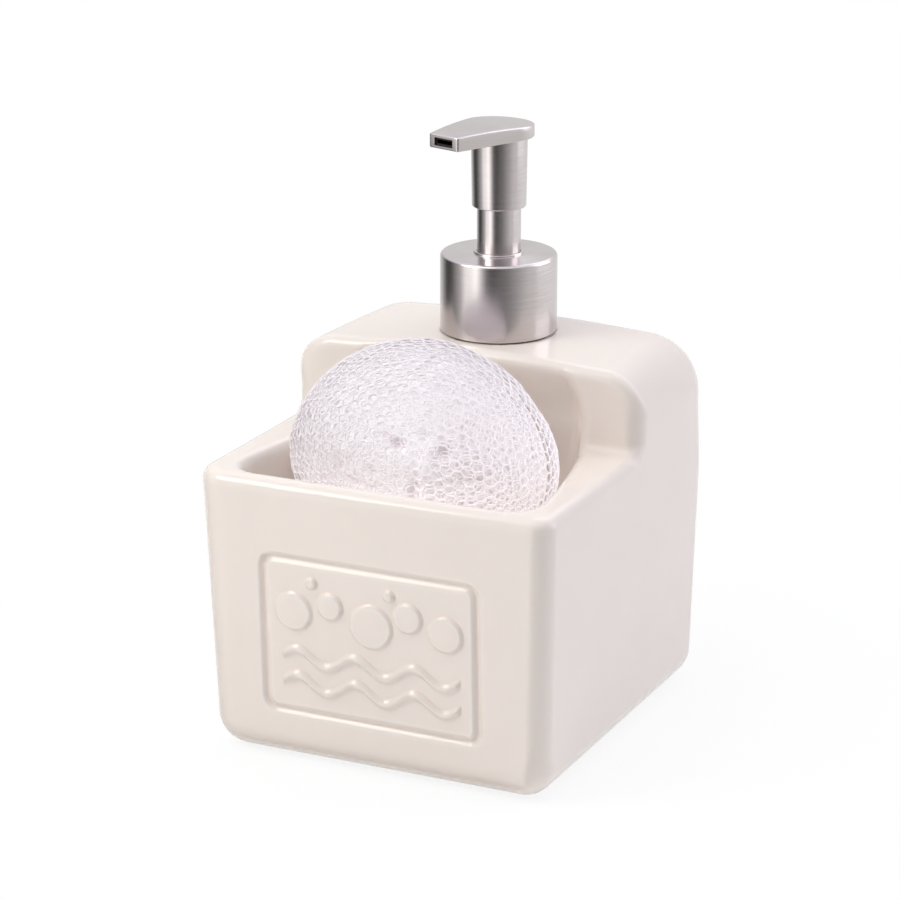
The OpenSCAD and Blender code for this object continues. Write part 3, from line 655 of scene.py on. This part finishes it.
def core_material(settings):
    """The inside of the scrubber: deeper layers of the same net, which pass light on between
    them, with painted shade in the gaps between their threads and a painted glow where
    the tray and the tank shade it."""
    material, node, place = new_material("Layered nylon net")
    bend = node("TexNoise", Vector=place, Scale=150.0).outputs["Color"]
    moved = node("Mix", 0.004, place, bend, data_type="RGBA", blend_type="ADD")
    # two layers of cells, about 3.3 and 2.6 mm wide
    cells = [
        node("TexVoronoi", Vector=moved, Scale=s, Randomness=0.45, feature="DISTANCE_TO_EDGE")
        for s in (300.0, 390.0)
    ]
    closest = node("Math", *cells, operation="MINIMUM")
    # the gaps between the cells' threads, which get a bump and painted shade
    gap = node("MapRange", Value=closest, From_Min=0.05, From_Max=0.16)
    tint = net_tint_and_shade(node, place, settings, gap)
    bump = node("Bump", Height=gap, Strength=0.6, Distance=0.3 * MM, invert=True)
    shader = node(
        "BsdfPrincipled",
        Base_Color=tint,
        Roughness=0.6,
        Normal=bump,
        Subsurface_Weight=1.0,
        Subsurface_Radius=(1.0, 1.0, 1.0),
        Subsurface_Scale=2.5 * MM,
        # painted glow, brightest where the tray and the tank shade the net
        Emission_Color=tint,
        Emission_Strength=painted_glow(node, place, 0.27),
    )
    node("OutputMaterial", shader)
    return material


def soften(points, radii, steps=5):
    """A closed outline with each corner rounded by its own radius."""
    points = [Vector(p) for p in points]
    out = []
    for i, (corner, r) in enumerate(zip(points, radii)):
        a, b = points[i - 1] - corner, points[(i + 1) % len(points)] - corner
        angle = a.angle(b)
        if r <= 0 or abs(angle - math.pi) < 1e-3:
            out.append(tuple(corner))
            continue
        reach = min(r / math.tan(angle / 2), 0.48 * min(a.length, b.length))
        r = reach * math.tan(angle / 2)
        start, end = corner + a.normalized() * reach, corner + b.normalized() * reach
        inward = (a.normalized() + b.normalized()).normalized()
        middle = corner + inward * r / math.sin(angle / 2)
        for k in range(steps + 1):
            way = start.lerp(end, k / steps) - middle
            out.append(tuple(middle + way.normalized() * r))
    return out


def turned(name, outline, material, segments):
    """A ring turned about the pump's axis from a closed outline of (radius, height)."""
    outline = np.array(outline)
    rows = len(outline)
    angle = (np.arange(segments) * 2 * math.pi / segments)[:, None]
    r, z = outline[None, :, 0], np.repeat(outline[None, :, 1], segments, 0)
    points = np.stack([r * np.cos(angle), PUMP_Y + r * np.sin(angle), z], -1).reshape(-1, 3)
    faces, around = [], []
    run = np.concatenate([[0], np.cumsum(np.hypot(*np.diff(outline, axis=0).T))])
    ends = zip(np.roll(outline, 1, 0), outline)
    clockwise = sum(a[0] * b[1] - b[0] * a[1] for a, b in ends) < 0
    for s in range(segments):
        for i in range(rows):
            corners = [(s, i), (s + 1, i), (s + 1, i + 1), (s, i + 1)]
            if clockwise:
                corners.reverse()
            faces.append([(t % segments) * rows + j % rows for t, j in corners])
            for t, j in corners:
                along = run[min(j, rows - 1)] + (j == rows)
                around.append((t / segments, along / MAP_UNIT))
    piece = new_piece(name, points, faces, material)
    layer = piece.data.uv_layers.new(name="around")
    layer.data.foreach_set("uv", np.array(around, np.float32).ravel())
    piece.data.shade_smooth()
    return piece


def rounded_plan(points, inset):
    """A closed plan outline moved inwards by inset."""
    points = np.array(points)
    along = np.roll(points, -1, 0) - np.roll(points, 1, 0)
    along /= np.linalg.norm(along, axis=1)[:, None]
    return points - inset * np.stack([along[:, 1], -along[:, 0]], 1)


class CADDY_OT_ceramic(bpy.types.Operator):
    """Make the glazed body with its tray, arched recess, front panel and soap room"""

    bl_idname = "caddy.make_ceramic"
    bl_label = "Glazed body"

    margin = 2.6
    cuts = 4
    panel_margin = 1.5
    bend_reach = 0.9

    def execute(self, context):
        settings = context.scene.caddy_ceramic
        shell = Shell(settings)
        low = (BODY_X[0] - self.margin, BODY_Y[0] - self.margin, -2.0)
        high = (BODY_X[1] + self.margin, BODY_Y[1] + self.margin, shell.seat_z + self.margin)
        step = settings.mesh_step / MM
        points, faces = surface_net(lambda p: shell.distance(p, False), low, high, step)
        points = shell.settle(points, with_design=False)
        points, faces = self.refine_panel(shell, points, faces)
        points = shell.settle(points)
        # the hole's upper edge is a true circle
        off = np.hypot(points[:, 0], points[:, 1] - PUMP_Y)
        near = np.abs(off - shell.seat_r) < 0.8
        near &= np.abs(points[:, 2] - shell.seat_z) < 0.8
        turn = shell.seat_r / off[near]
        points[near, 0] *= turn
        points[near, 1] = PUMP_Y + (points[near, 1] - PUMP_Y) * turn
        points[near, 2] = shell.seat_z
        piece = new_piece("glazed_body", points, faces, glaze_material(settings))
        points = np.zeros(len(piece.data.vertices) * 3)
        piece.data.vertices.foreach_get("co", points)
        points = points.reshape(-1, 3) / MM
        slope = shell.gradient(points)
        normals = slope / np.maximum(np.linalg.norm(slope, axis=1), 1e-6)[:, None]
        sides = np.eye(3) * self.bend_reach
        around = sum(shell.distance(points + a) + shell.distance(points - a) for a in sides)
        bend = around - 6 * shell.distance(points)
        store(piece.data, "hollow", np.clip(-bend * 3, -1, 1))
        piece.data.shade_smooth()
        piece.data.normals_split_custom_set_from_vertices([tuple(n) for n in normals])
        seat(piece, "caddy", "cream_glaze", "ceramic_body")
        return {"FINISHED"}

    def refine_panel(self, shell, points, faces):
        """Divides the four-sided faces under the front panel into a finer grid."""
        cuts = self.cuts
        across, along, up = np.moveaxis(points[faces].mean(1), -1, 0)
        chosen = along < shell.front + 6
        chosen &= np.abs(across) < shell.panel_w / 2 + self.panel_margin
        chosen &= np.abs(up - shell.panel_mid) < shell.panel_h / 2 + self.panel_margin
        points = list(map(tuple, points))
        edges = {}

        def on_edge(a, b):
            key = (min(a, b), max(a, b))
            if key not in edges:
                first, last = np.array(points[key[0]]), np.array(points[key[1]])
                made = [tuple(first + (last - first) * k / cuts) for k in range(1, cuts)]
                edges[key] = list(range(len(points), len(points) + cuts - 1))
                points.extend(made)
            return edges[key] if a < b else edges[key][::-1]

        closed, fine = [], []
        for a, b, c, d in faces[chosen]:
            grid = np.zeros((cuts + 1, cuts + 1), int)
            grid[0, 0], grid[cuts, 0], grid[cuts, cuts], grid[0, cuts] = a, b, c, d
            grid[1:cuts, 0], grid[cuts, 1:cuts] = on_edge(a, b), on_edge(b, c)
            grid[1:cuts, cuts], grid[0, 1:cuts] = on_edge(d, c), on_edge(a, d)
            p = [np.array(points[n]) for n in (a, b, c, d)]
            for i in range(1, cuts):
                for j in range(1, cuts):
                    s, t = i / cuts, j / cuts
                    low, high = p[0] * (1 - s) + p[1] * s, p[3] * (1 - s) + p[2] * s
                    points.append(tuple(low * (1 - t) + high * t))
                    grid[i, j] = len(points) - 1
            corners = (grid[:-1, :-1], grid[1:, :-1], grid[1:, 1:], grid[:-1, 1:])
            fine += np.stack(corners, -1).reshape(-1, 4).tolist()
        # a plain face that touches the fine grid takes its extra points
        for face in faces[~chosen].tolist():
            ring = []
            for a, b in zip(face, face[1:] + face[:1]):
                ring += [a] + (on_edge(a, b) if (min(a, b), max(a, b)) in edges else [])
            closed.append(ring)
        return np.array(points), closed + fine


class CADDY_OT_metal(bpy.types.Operator):
    """Make the collar, the guide tube and the sleeve of brushed steel"""

    bl_idname = "caddy.make_metal"
    bl_label = "Collar, tube and sleeve"

    # Radii from the axis, and the collar's wall, top and raised lip
    lip_in, lip_out, lip_h = 6.05, 6.95, 0.6
    wall, top_wall = 0.8, 1
    tube_in, tube_out = 5.45, 6
    sleeve_in, sleeve_foot, sleeve_out = 6.5, 7.4, 7.7

    def execute(self, context):
        settings = context.scene.caddy_metal
        steel = steel_material(settings)
        edge = 1.15 * (settings.edge_r / MM)
        r = (COLLAR_X[1] - COLLAR_X[0]) / 2
        low, high = COLLAR_Z
        top, inner = high - self.lip_h, r - self.wall
        collar = [(inner, low), (r, low), (r, top), (self.lip_out, top), (self.lip_out, high)]
        collar += [(self.lip_in, high), (self.lip_in, top - self.top_wall)]
        collar += [(inner, top - self.top_wall)]
        low, high = TUBE_Z
        tube = [(self.tube_in, low), (self.tube_out, low)]
        tube += [(self.tube_out, high), (self.tube_in, high)]
        low, high = SLEEVE_Z
        sleeve = [(self.sleeve_in, low), (self.sleeve_foot, low)]
        sleeve += [(self.sleeve_out, high), (self.sleeve_in, high)]
        edges = [0.1, 0.3, edge, 0.15, 0.25, 0.15, 0.1, 0.3]
        for name, outline, radii, body, node in (
            ("collar_shell", collar, edges, "collar", "collar"),
            ("guide_pipe", tube, [0.1] * 4, "pump", "guide_tube"),
            ("head_sleeve", sleeve, [0.1, 0.45, 0.05, 0.05], "spout", "sleeve"),
        ):
            piece = turned(name, soften(outline, radii), steel, settings.segments)
            seat(piece, body, "brushed_steel", node)
        return {"FINISHED"}


class CADDY_OT_head(bpy.types.Operator):
    """Make the pump's head with its flat spout and the mouth at its tip"""

    bl_idname = "caddy.make_head"
    bl_label = "Pump head"

    turn = math.radians(-90 - 15.5)
    reach, tip_w, round_d, side_h = 23.0, 10.0, 19.0, 3.8
    mouth_w, mouth_h, liner_hole_r = 6.3, 2.2, 4.95
    corner_r, edge_r, edge_steps = 0.6, 0.35, 4
    # Rings from the edge to the dome's middle line, which stops short of the tip
    ring_shares = (0.9, 0.75, 0.55, 0.35, 0.2, 0.0)
    spine_gap = 4

    def plan(self):
        """The head seen from above, spout towards +u, counter-clockwise."""
        r, half, reach = self.round_d / 2, self.tip_w / 2, self.reach
        # where a straight side from the tip's corner touches the round end
        touch = math.atan2(half, reach) + math.acos(r / math.hypot(reach, half))
        angles = np.linspace(touch, 2 * math.pi - touch, 61)
        arc = [(r * math.cos(a), r * math.sin(a)) for a in angles]
        corners = [arc[-1], (reach, -half), (reach, half), arc[0]]
        tip = soften(corners, [0, self.corner_r, self.corner_r, 0])[1:-1]
        out = []
        for a, b in zip([arc[-1], *tip], [*tip, arc[0]]):
            steps = max(1, round(math.dist(a, b) / 1.2))
            for k in range(1, steps + 1):
                out.append([a[n] + (b[n] - a[n]) * k / steps for n in (0, 1)])
        return np.array(arc + out[:-1])

    def execute(self, context):
        low, high = HEAD_Z
        outline, e = self.plan(), self.edge_r
        crown = high - low - self.side_h
        dome_r = (math.hypot(self.reach, self.tip_w) / 2) ** 2 / (2 * crown) + crown / 2

        def top(p):
            off = (p[:, 0] - self.reach / 2) ** 2 + p[:, 1] ** 2
            return high - dome_r + np.sqrt(dome_r**2 - off)

        bends = [k / self.edge_steps * math.pi / 2 for k in range(self.edge_steps + 1)]
        rings = []
        for a in bends:
            rim = rounded_plan(outline, e * (1 - math.sin(a)))
            rings.append((rim, np.full(len(rim), low + e * (1 - math.cos(a)))))
        for a in bends:
            rim = rounded_plan(outline, e * (1 - math.cos(a)))
            rings.append((rim, top(rim) - e * (1 - math.sin(a))))
        inner = rounded_plan(outline, e)
        along = np.clip(inner[:, 0], 0, self.reach - self.spine_gap)
        spine = np.column_stack([along, np.zeros(len(inner))])
        for share in self.ring_shares:
            rim = spine + (inner - spine) * share
            rings.append((rim, top(rim)))
        n = len(outline)
        u, v, z = np.concatenate([np.column_stack(ring) for ring in rings]).T
        c, s = math.cos(self.turn), math.sin(self.turn)
        points = np.column_stack([u * c - v * s, u * s + v * c + PUMP_Y, z])
        faces = []
        for k in range(0, n * (len(rings) - 1), n):
            for i, j in zip(range(n), (*range(1, n), 0)):
                faces.append((k + i, k + j, k + n + j, k + n + i))
        faces.append(tuple(range(n - 1, -1, -1)))
        steel = steel_material(context.scene.caddy_metal)
        piece = new_piece("head_shell", points, faces, steel)
        # the last ring is the dome's middle line, where both sides meet
        shell = bmesh.new()
        shell.from_mesh(piece.data)
        bmesh.ops.remove_doubles(shell, verts=shell.verts, dist=0.01 * MM)
        shell.to_mesh(piece.data)
        shell.free()
        mouth = Vector((self.reach * c, PUMP_Y + self.reach * s, low + self.side_h / 2))
        bpy.ops.mesh.primitive_cube_add(size=1, location=mouth * MM)
        slot = bpy.context.object
        slot.rotation_euler.z = self.turn
        slot.scale = (2 * self.reach * MM, self.mouth_w * MM, self.mouth_h * MM)
        self.cut(piece, slot)
        bpy.ops.mesh.primitive_cylinder_add(
            vertices=64,
            radius=self.liner_hole_r * MM,
            depth=self.side_h * MM,
            location=Vector((0, PUMP_Y, low)) * MM,
        )
        self.cut(piece, bpy.context.object)
        layer = piece.data.uv_layers.new(name="around")
        for loop in piece.data.loops:
            x, y, z = piece.data.vertices[loop.vertex_index].co / MM
            across = -x * s + (y - PUMP_Y) * c
            along = x * c + (y - PUMP_Y) * s
            layer.data[loop.index].uv = (across / MAP_UNIT, (along + 0.3 * z) / MAP_UNIT)
        piece.data.shade_smooth()
        piece.data.set_sharp_from_angle(angle=math.radians(40))
        # the dome's own normals, so that its narrow middle faces leave no crease
        middle = (c * self.reach / 2, PUMP_Y + s * self.reach / 2, high - dome_r)
        normals = []
        for face in piece.data.polygons:
            for number in face.vertices:
                off = piece.data.vertices[number].co / MM - Vector(middle)
                on_top = face.normal.z > 0.9 and abs(off.length - dome_r) < 0.02
                normals.append(off.normalized() if on_top else (0, 0, 0))
        piece.data.normals_split_custom_set(normals)
        seat(piece, "spout", "brushed_steel", "pump_head")
        return {"FINISHED"}

    @staticmethod
    def cut(piece, tool):
        """Takes the tool's form out of the head."""
        cutter = piece.modifiers.new("cut", "BOOLEAN")
        cutter.operation, cutter.solver, cutter.object = "DIFFERENCE", "EXACT", tool
        apply_modifiers(piece)
        bpy.data.objects.remove(tool)


def ball(subdivisions):
    """Points and three-sided faces of a divided icosahedron."""
    mesh = bmesh.new()
    bmesh.ops.create_icosphere(mesh, subdivisions=subdivisions, radius=1)
    mesh.verts.index_update()
    points = np.array([v.co[:] for v in mesh.verts])
    faces = [[v.index for v in face.verts] for face in mesh.faces]
    mesh.free()
    return points, faces


def cell_net(count, random):
    """Corners and sides of six-sided cells spread over a unit ball, turned at random:
    count is how many cells lie along an edge of the divided icosahedron."""
    points, faces = ball(1)
    a, b, c = (points[np.array(faces)][:, None, k] for k in range(3))
    small = []
    for i in range(count):
        for j in range(count - i):
            small.append([(i, j), (i + 1, j), (i, j + 1)])
            if i + j < count - 1:
                small.append([(i + 1, j), (i + 1, j + 1), (i, j + 1)])
    small = np.array(small)[None] / count
    points = a[:, :, None] + (b - a)[:, :, None] * small[..., :1]
    points = (points + (c - a)[:, :, None] * small[..., 1:]).reshape(-1, 3, 3)
    places = np.round(points.reshape(-1, 3), 4) + 0.0
    _, numbers = np.unique(places, axis=0, return_inverse=True)
    numbers = numbers.reshape(-1, 3)
    sides = np.sort(np.stack([numbers, np.roll(numbers, -1, 1)], -1), -1).reshape(-1, 2)
    _, same = np.unique(sides, axis=0, return_inverse=True)
    order = np.argsort(same.ravel(), kind="stable")
    owner, same = order // 3, same.ravel()[order]
    pair = same[:-1] == same[1:]
    middles = points.mean(1)
    turn, _ = np.linalg.qr(random.normal(size=(3, 3)))
    middles = middles / np.linalg.norm(middles, axis=1)[:, None] @ turn
    return middles, np.stack([owner[:-1][pair], owner[1:][pair]], 1)


class CADDY_OT_net(bpy.types.Operator):
    """Make the net scrubber: loose layers of six-sided mesh over a crumpled inside"""

    bl_idname = "caddy.make_net"
    bl_label = "Net scrubber"

    lean, roll = math.radians(12), math.radians(2.4)
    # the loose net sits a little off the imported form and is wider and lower
    shift = np.array([-1.7, 0.0, 0.6])
    grow = np.array([3.0, 0.0, -1.6])
    # the form's section: 2 would be an ellipse
    power = 1.88
    layer_shares = (1.0, 0.955, 0.93)
    core_share = 0.9
    # on the right the outer layer is pulled clear of the ones inside: how far in these lie
    # for each share that they lack, and where across the form that starts and is full
    clear_most, clear_from, clear_run = 34, 0.1, 0.6
    # how far every point lies in, how deep the lumps are and how uneven the threads
    inset, lump, rough, core_rough = 0.2, 0.4, 0.09, 0.08
    wave_count, wave_size, wave_pitch = 6, 0.35, 3.0
    # dents and creases in front as (x, z, depth, half width, half height), from the middle
    dents = (
        (0.6, 5.6, 2.6, 1.7, 1.1), (13.4, 5.4, 2.6, 1.2, 1.5), (7.9, 8.6, 1.2, 1.1, 1.3),
        (-3.5, 7.4, 1.1, 1.9, 0.9), (19.7, -1.5, 1.5, 1.3, 1.0), (20.8, -0.9, 1.2, 3.2, 0.7),
        (7.0, -5.5, 1.9, 0.8, 4.0), (-4.8, -7.3, 1.3, 2.0, 0.9), (-11.6, -6.7, 1.3, 2.2, 0.9),
        (-5.4, -2.9, 1.0, 1.1, 1.2), (-15.6, -2.8, 0.8, 1.3, 1.1), (9.6, 0.0, -1.2, 1.5, 7.0),
    )

    def execute(self, context):
        settings = context.scene.caddy_net
        low, high = (Vector(corner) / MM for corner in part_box("scrubber"))
        half = (high - low) / 2
        self.middle = np.array((low + high) / 2) + self.shift
        c, s = math.cos(self.lean), math.sin(self.lean)
        even = c**4 - s**4
        thick = math.sqrt((half.y**2 * c * c - half.z**2 * s * s) / even)
        tall = math.sqrt((half.z**2 * c * c - half.y**2 * s * s) / even)
        self.half = np.array([half.x, thick, tall]) + self.grow
        # an icosahedron's edge spans 63.4 degrees
        edge = 1.107 * (self.half[0] + self.half[2]) / 2
        count = max(2, round(edge / (settings.cell / MM)))
        random = np.random.default_rng(settings.seed)
        layers = settings.layers
        points, edges, shades, outs = [], [], [], []
        for share in self.layer_shares[:layers]:
            way, joined = cell_net(count, random)
            edges += [(a + len(points), b + len(points)) for a, b in joined]
            # the net is pulled unevenly
            for k in (2.0, 5.0, 9.0):
                way = way + 0.05 / k * np.sin(way @ random.normal(0, k, (3, 3)) + k)
            made, shade, out = self.place(way, share, self.waves(random))
            points += list(made + random.normal(0, self.rough, made.shape))
            shades += list(shade)
            outs += list(out)
        piece = new_piece("scrubber_net", points, [], None, edges)
        # painted shade of the creases and the deeper right layers, and the outward ways, for
        # the material
        store(piece.data, "shade", shades)
        store(piece.data, "out", outs, "FLOAT_VECTOR")
        weave(piece, settings.thread, 5, net_material(settings))
        piece.visible_shadow = piece.visible_diffuse = False
        way, faces = ball(6)
        points, shade, _ = self.place(way, self.core_share, self.waves(random))
        points = points + random.normal(0, self.core_rough, points.shape)
        core = new_piece("scrubber_core", points, faces, core_material(settings))
        # painted shade of the creases and the deeper right side, for the core's material
        store(core.data, "shade", shade)
        for part in (piece, core):
            part.data.shade_smooth()
            seat(part, "scrubber", "nylon_net", "scrubber")
        return {"FINISHED"}

    def place(self, way, share, waves):
        """Points of a layer in the given directions from the middle, how much painted shade
        each gets, and the form's outward directions there.
        """
        way = way / np.linalg.norm(way, axis=-1)[..., None]
        lumps = sum(size * np.sin(way @ np.array(axis) + start) for size, axis, start in waves)
        inward = way / self.half
        inward /= np.linalg.norm(inward, axis=-1)[..., None]
        way = way / (np.abs(way) ** self.power).sum(-1)[..., None] ** (1 / self.power)
        local = way * self.half * share
        x, z = local[..., 0], local[..., 2]
        front, dent = ease(-3 * way[..., 1]), 0
        for at_x, at_z, deep, wide, tall in self.dents:
            off = -(((x - at_x) / wide) ** 2) - ((z - at_z) / tall) ** 2
            dent = dent + deep * front * np.exp(off)
        right = ease((way[..., 0] - self.clear_from) / self.clear_run)
        clear = self.clear_most * (1 - share) * right
        local = local - inward * (self.inset + self.lump * lumps + dent + clear)[..., None]
        # painted shade: darker in the dents, and on inner layers where they lie deeper at the
        # right
        shade = np.clip(dent / 3 + 0.12 * clear, 0, 1)
        return self.middle + self.leant(local), shade, self.leant(inward)

    def leant(self, local):
        """Turns vectors from the scrubber's own axes to the part's."""
        x, y, z = np.moveaxis(local, -1, 0)
        c, s = math.cos(self.roll), math.sin(self.roll)
        x, z = x * c + z * s, z * c - x * s
        c, s = math.cos(self.lean), math.sin(self.lean)
        return np.stack([x, y * c + z * s, z * c - y * s], -1)

    def waves(self, random):
        """The lumps' waves as (height, pitch along each axis, start)."""
        waves = []
        for k in range(self.wave_count):
            axis = tuple(random.normal(0, self.wave_pitch + k, 3))
            waves.append((self.wave_size / (1 + k / 4), axis, random.uniform(0, 6.28)))
        return waves


class CADDY_OT_inner(bpy.types.Operator):
    """Give the pump's working parts their plastics, rubber and spring steel"""

    bl_idname = "caddy.make_inner"
    bl_label = "Working parts"

    shown = "ceramic_body collar guide_tube sleeve pump_head scrubber spring".split()

    def execute(self, context):
        pump = context.scene.caddy_pump
        milky, metal = {"Subsurface_Weight": 0.3, "Subsurface_Scale": MM}, {"Metallic": 1.0}
        made = {"nylon_net": net_material(context.scene.caddy_net)}
        for slot, name, tint, rough, grain, scale, more in (
            ("natural_plastic", "Natural polypropylene", pump.plastic, 0.38, 0.1, 300.0, milky),
            ("black_plastic", "Black ABS plastic", pump.black, 0.16, 0.03, 300.0, {}),
            ("seal_rubber", "Moulded seal rubber", pump.rubber, 0.7, 0.4, 300.0, {}),
            ("spring_steel", "Drawn spring steel", pump.wire, 0.24, 0.1, 1500.0, metal),
        ):
            made[slot] = plain_material(name, tint, rough, grain, scale, **more)
        self.spring(pump, made["spring_steel"])
        for part in frame["record"]["subparts"]:
            if part["node"] not in self.shown:
                for slot in bpy.data.objects[part["node"]].material_slots:
                    slot.material = made[part["material_slot"]]
        return {"FINISHED"}

    @staticmethod
    def spring(pump, material):
        """The return spring, wound with closed ends, made at rest and riding the pump whole;
        the real one closes as the pump goes down.
        """
        (left, right), (low, high) = node_span("spring", 0), node_span("spring", 2)
        wire = pump.wire_d / MM
        low, high = low + wire / 2, high - wire / 2
        # one turn at each end lies flat on the next
        total = pump.turns + 2
        turn = np.linspace(0, 1, 48 * total)
        run = np.clip((turn * total - 1) / pump.turns, 0, 1)
        flat = wire * (np.minimum(turn * total, 1) + np.maximum(turn * total - total + 1, 0))
        z = low + flat + (high - low - 2 * wire) * run
        angle = 2 * math.pi * total * turn
        r = (right - left - wire) / 2
        points = np.stack([r * np.cos(angle), PUMP_Y + r * np.sin(angle), z], -1)
        edges = [(i, i + 1) for i in range(len(points) - 1)]
        piece = new_piece("return_spring", points, [], None, edges)
        weave(piece, pump.wire_d, 12, material)
        piece.data.shade_smooth()
        seat(piece, "pump", "spring_steel", "spring")
        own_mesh(piece)


class CADDY_OT_stage(bpy.types.Operator):
    """Set the floor, the studio lights and the camera"""

    bl_idname = "caddy.make_stage"
    bl_label = "Stage"

    # Brightness round the studio by azimuth in degrees: 0 is ahead of the tray, 90 its right
    panels = (
        (-180, 0.9), (-125, 0.7), (-98, 0.06), (-80, 0.1), (-55, 0.6), (-44, 1.3),
        (-32, 1.4), (-20, 1.9), (-9, 0.8), (0, 0.2), (12, 0.08), (38, 0.22),
        (60, 0.45), (85, 0.75), (150, 1.0), (180, 0.9),
    )
    overhead = (1.14, 1.13, 1.24)
    # What matt surfaces get from overhead
    sky = (0.98, 0.975, 1.06)
    # Soft boxes: name, azimuth, elevation, distance, width, height, power and colour
    boxes = (
        ("top_box", -25, 62, 1000, 620, 460, 1.3, (1.0, 0.967, 0.92)),
        ("front_box", -42, 38, 500, 230, 190, 0.84, (1.0, 0.974, 0.92)),
        ("right_box", 124, 22, 1000, 700, 800, 2.95, (0.96, 0.94, 1.05)),
        ("back_box", 175, 45, 1000, 800, 500, 0.9, (0.86, 0.89, 1.0)),
    )
    box_aim = Vector((0, 0, 60 * MM))
    camera_at = (373.39, -790.92, 359.68)
    floor_half = 1500

    def execute(self, context):
        settings, scene = context.scene.caddy_stage, context.scene
        camera = bpy.data.objects.new("camera", bpy.data.cameras.new("camera"))
        scene.collection.objects.link(camera)
        camera.data.lens, camera.data.sensor_width = 136.0, 36.0
        camera.location = Vector(self.camera_at) * MM
        look_back(camera, bearing(25.42, 17.99))
        camera.data.clip_start, camera.data.clip_end = 0.01, 20
        scene.camera = camera
        scene.view_settings.view_transform = "Standard"
        self.world(scene, settings)
        self.floor(settings)
        for name, azimuth, elevation, away, width, height, power, tint in self.boxes:
            lamp = bpy.data.lights.new(name, "AREA")
            lamp.shape, lamp.size, lamp.size_y = "RECTANGLE", width * MM, height * MM
            lamp.energy, lamp.color = power * settings.light, tint
            holder = bpy.data.objects.new(name, lamp)
            scene.collection.objects.link(holder)
            way = bearing(azimuth, elevation)
            holder.location = self.box_aim + way * away * MM
            look_back(holder, way)
        return {"FINISHED"}

    def world(self, scene, settings):
        """A studio round the object: bright and dark panels by direction, which light it
        and show in its gloss, and plain white where the camera looks past it."""
        world = scene.world = bpy.data.worlds.new("studio")
        world.use_nodes = True
        world.node_tree.nodes.clear()
        node = partial(add, world.node_tree)
        way = node("TexCoord").outputs["Generated"]
        split = node("SeparateXYZ", way).outputs
        ahead = node("Math", split["Y"], -1.0, operation="MULTIPLY")
        turn = node("Math", split["X"], ahead, operation="ARCTAN2")
        place = node("MapRange", Value=turn, From_Min=-math.pi, From_Max=math.pi)
        stops = [(0.5 + angle / 360, [v] * 3) for angle, v in self.panels]
        panels = node("ValToRGB", place, stops=stops)
        height = node("MapRange", Value=split["Z"], From_Min=0.3, From_Max=0.75)
        # a dark flag ahead and to the right keeps light off the upright edge there
        flag = node("VectorMath", way, (0.77, -0.64, 0.0), operation="DOT_PRODUCT")
        clear = node("MapRange", flag, From_Min=0.2, From_Max=0.85, To_Min=1.0, To_Max=0.45)
        path = node("LightPath").outputs
        seen = node(
            "Math", path["Is Camera Ray"], path["Is Transmission Ray"], operation="MAXIMUM"
        )
        above = node("Mix", clear, (0, 0, 0), self.sky, data_type="RGBA")
        above = node("Mix", height, (0, 0, 0), above, data_type="RGBA")
        around = node("Mix", height, panels, self.overhead, data_type="RGBA")
        around = node("Mix", path["Is Diffuse Ray"], around, above, data_type="RGBA")
        tint = node("Mix", seen, around, (1, 1, 1), data_type="RGBA")
        node("OutputWorld", node("Background", Color=tint, Strength=settings.light))

    def floor(self, settings):
        """A matt white card: its shadow is kept, faintly, close to the object."""
        half = self.floor_half
        points = [(-half, -half, 0), (half, -half, 0), (half, half, 0), (-half, half, 0)]
        material, node, place = new_material("Matt white studio card")
        # fibres of the card about 2.5 mm long
        tint, _ = mottled(node, place, settings.floor, 0.97, 400.0, 2.0)
        card = node("BsdfDiffuse", Color=tint)
        white = node("Emission", Color=(1, 1, 1), Strength=1.0)
        path = node("LightPath").outputs
        off = node("VectorMath", place, operation="LENGTH")
        faint = 1 - settings.shadow
        plain = node("MapRange", Value=off, From_Min=0.07, From_Max=0.16, To_Min=faint)
        seen = node("Math", path["Is Camera Ray"], plain, operation="MULTIPLY")
        shown = node("MixShader", seen, card, white)
        # gloss sees the studio's panels and not the card
        clear = node("BsdfTransparent")
        node("OutputMaterial", node("MixShader", path["Is Glossy Ray"], shown, clear))
        new_piece("floor", points, [(0, 1, 2, 3)], material)


class CADDY_PT_panel(bpy.types.Panel):
    """The caddy's tools and sizes"""

    bl_idname = "CADDY_PT_panel"
    bl_label = "Soap pump caddy"
    bl_space_type = "VIEW_3D"
    bl_region_type = "UI"
    bl_category = "Caddy"

    def draw(self, context):
        for operator in OPERATORS:
            self.layout.operator(operator.bl_idname)
        for name in SETTINGS:
            box = self.layout.box()
            for key in getattr(context.scene, name).bl_rna.properties.keys():
                if key not in ("name", "rna_type"):
                    box.prop(getattr(context.scene, name), key)


SETTINGS = {
    "caddy_ceramic": CeramicSettings,
    "caddy_metal": MetalSettings,
    "caddy_pump": PumpSettings,
    "caddy_net": NetSettings,
    "caddy_stage": StageSettings,
}
OPERATORS = [
    CADDY_OT_ceramic,
    CADDY_OT_metal,
    CADDY_OT_head,
    CADDY_OT_inner,
    CADDY_OT_net,
    CADDY_OT_stage,
]


def register():
    for cls in (*SETTINGS.values(), *OPERATORS, CADDY_PT_panel):
        bpy.utils.register_class(cls)
    for name, cls in SETTINGS.items():
        setattr(bpy.types.Scene, name, PointerProperty(type=cls))


def unregister():
    for name in SETTINGS:
        delattr(bpy.types.Scene, name)
    for cls in reversed((*SETTINGS.values(), *OPERATORS, CADDY_PT_panel)):
        bpy.utils.unregister_class(cls)


def main():
    register()
    for operator in OPERATORS:
        group, name = operator.bl_idname.split(".")
        getattr(getattr(bpy.ops, group), name)()


if __name__ == "__main__":
    main()
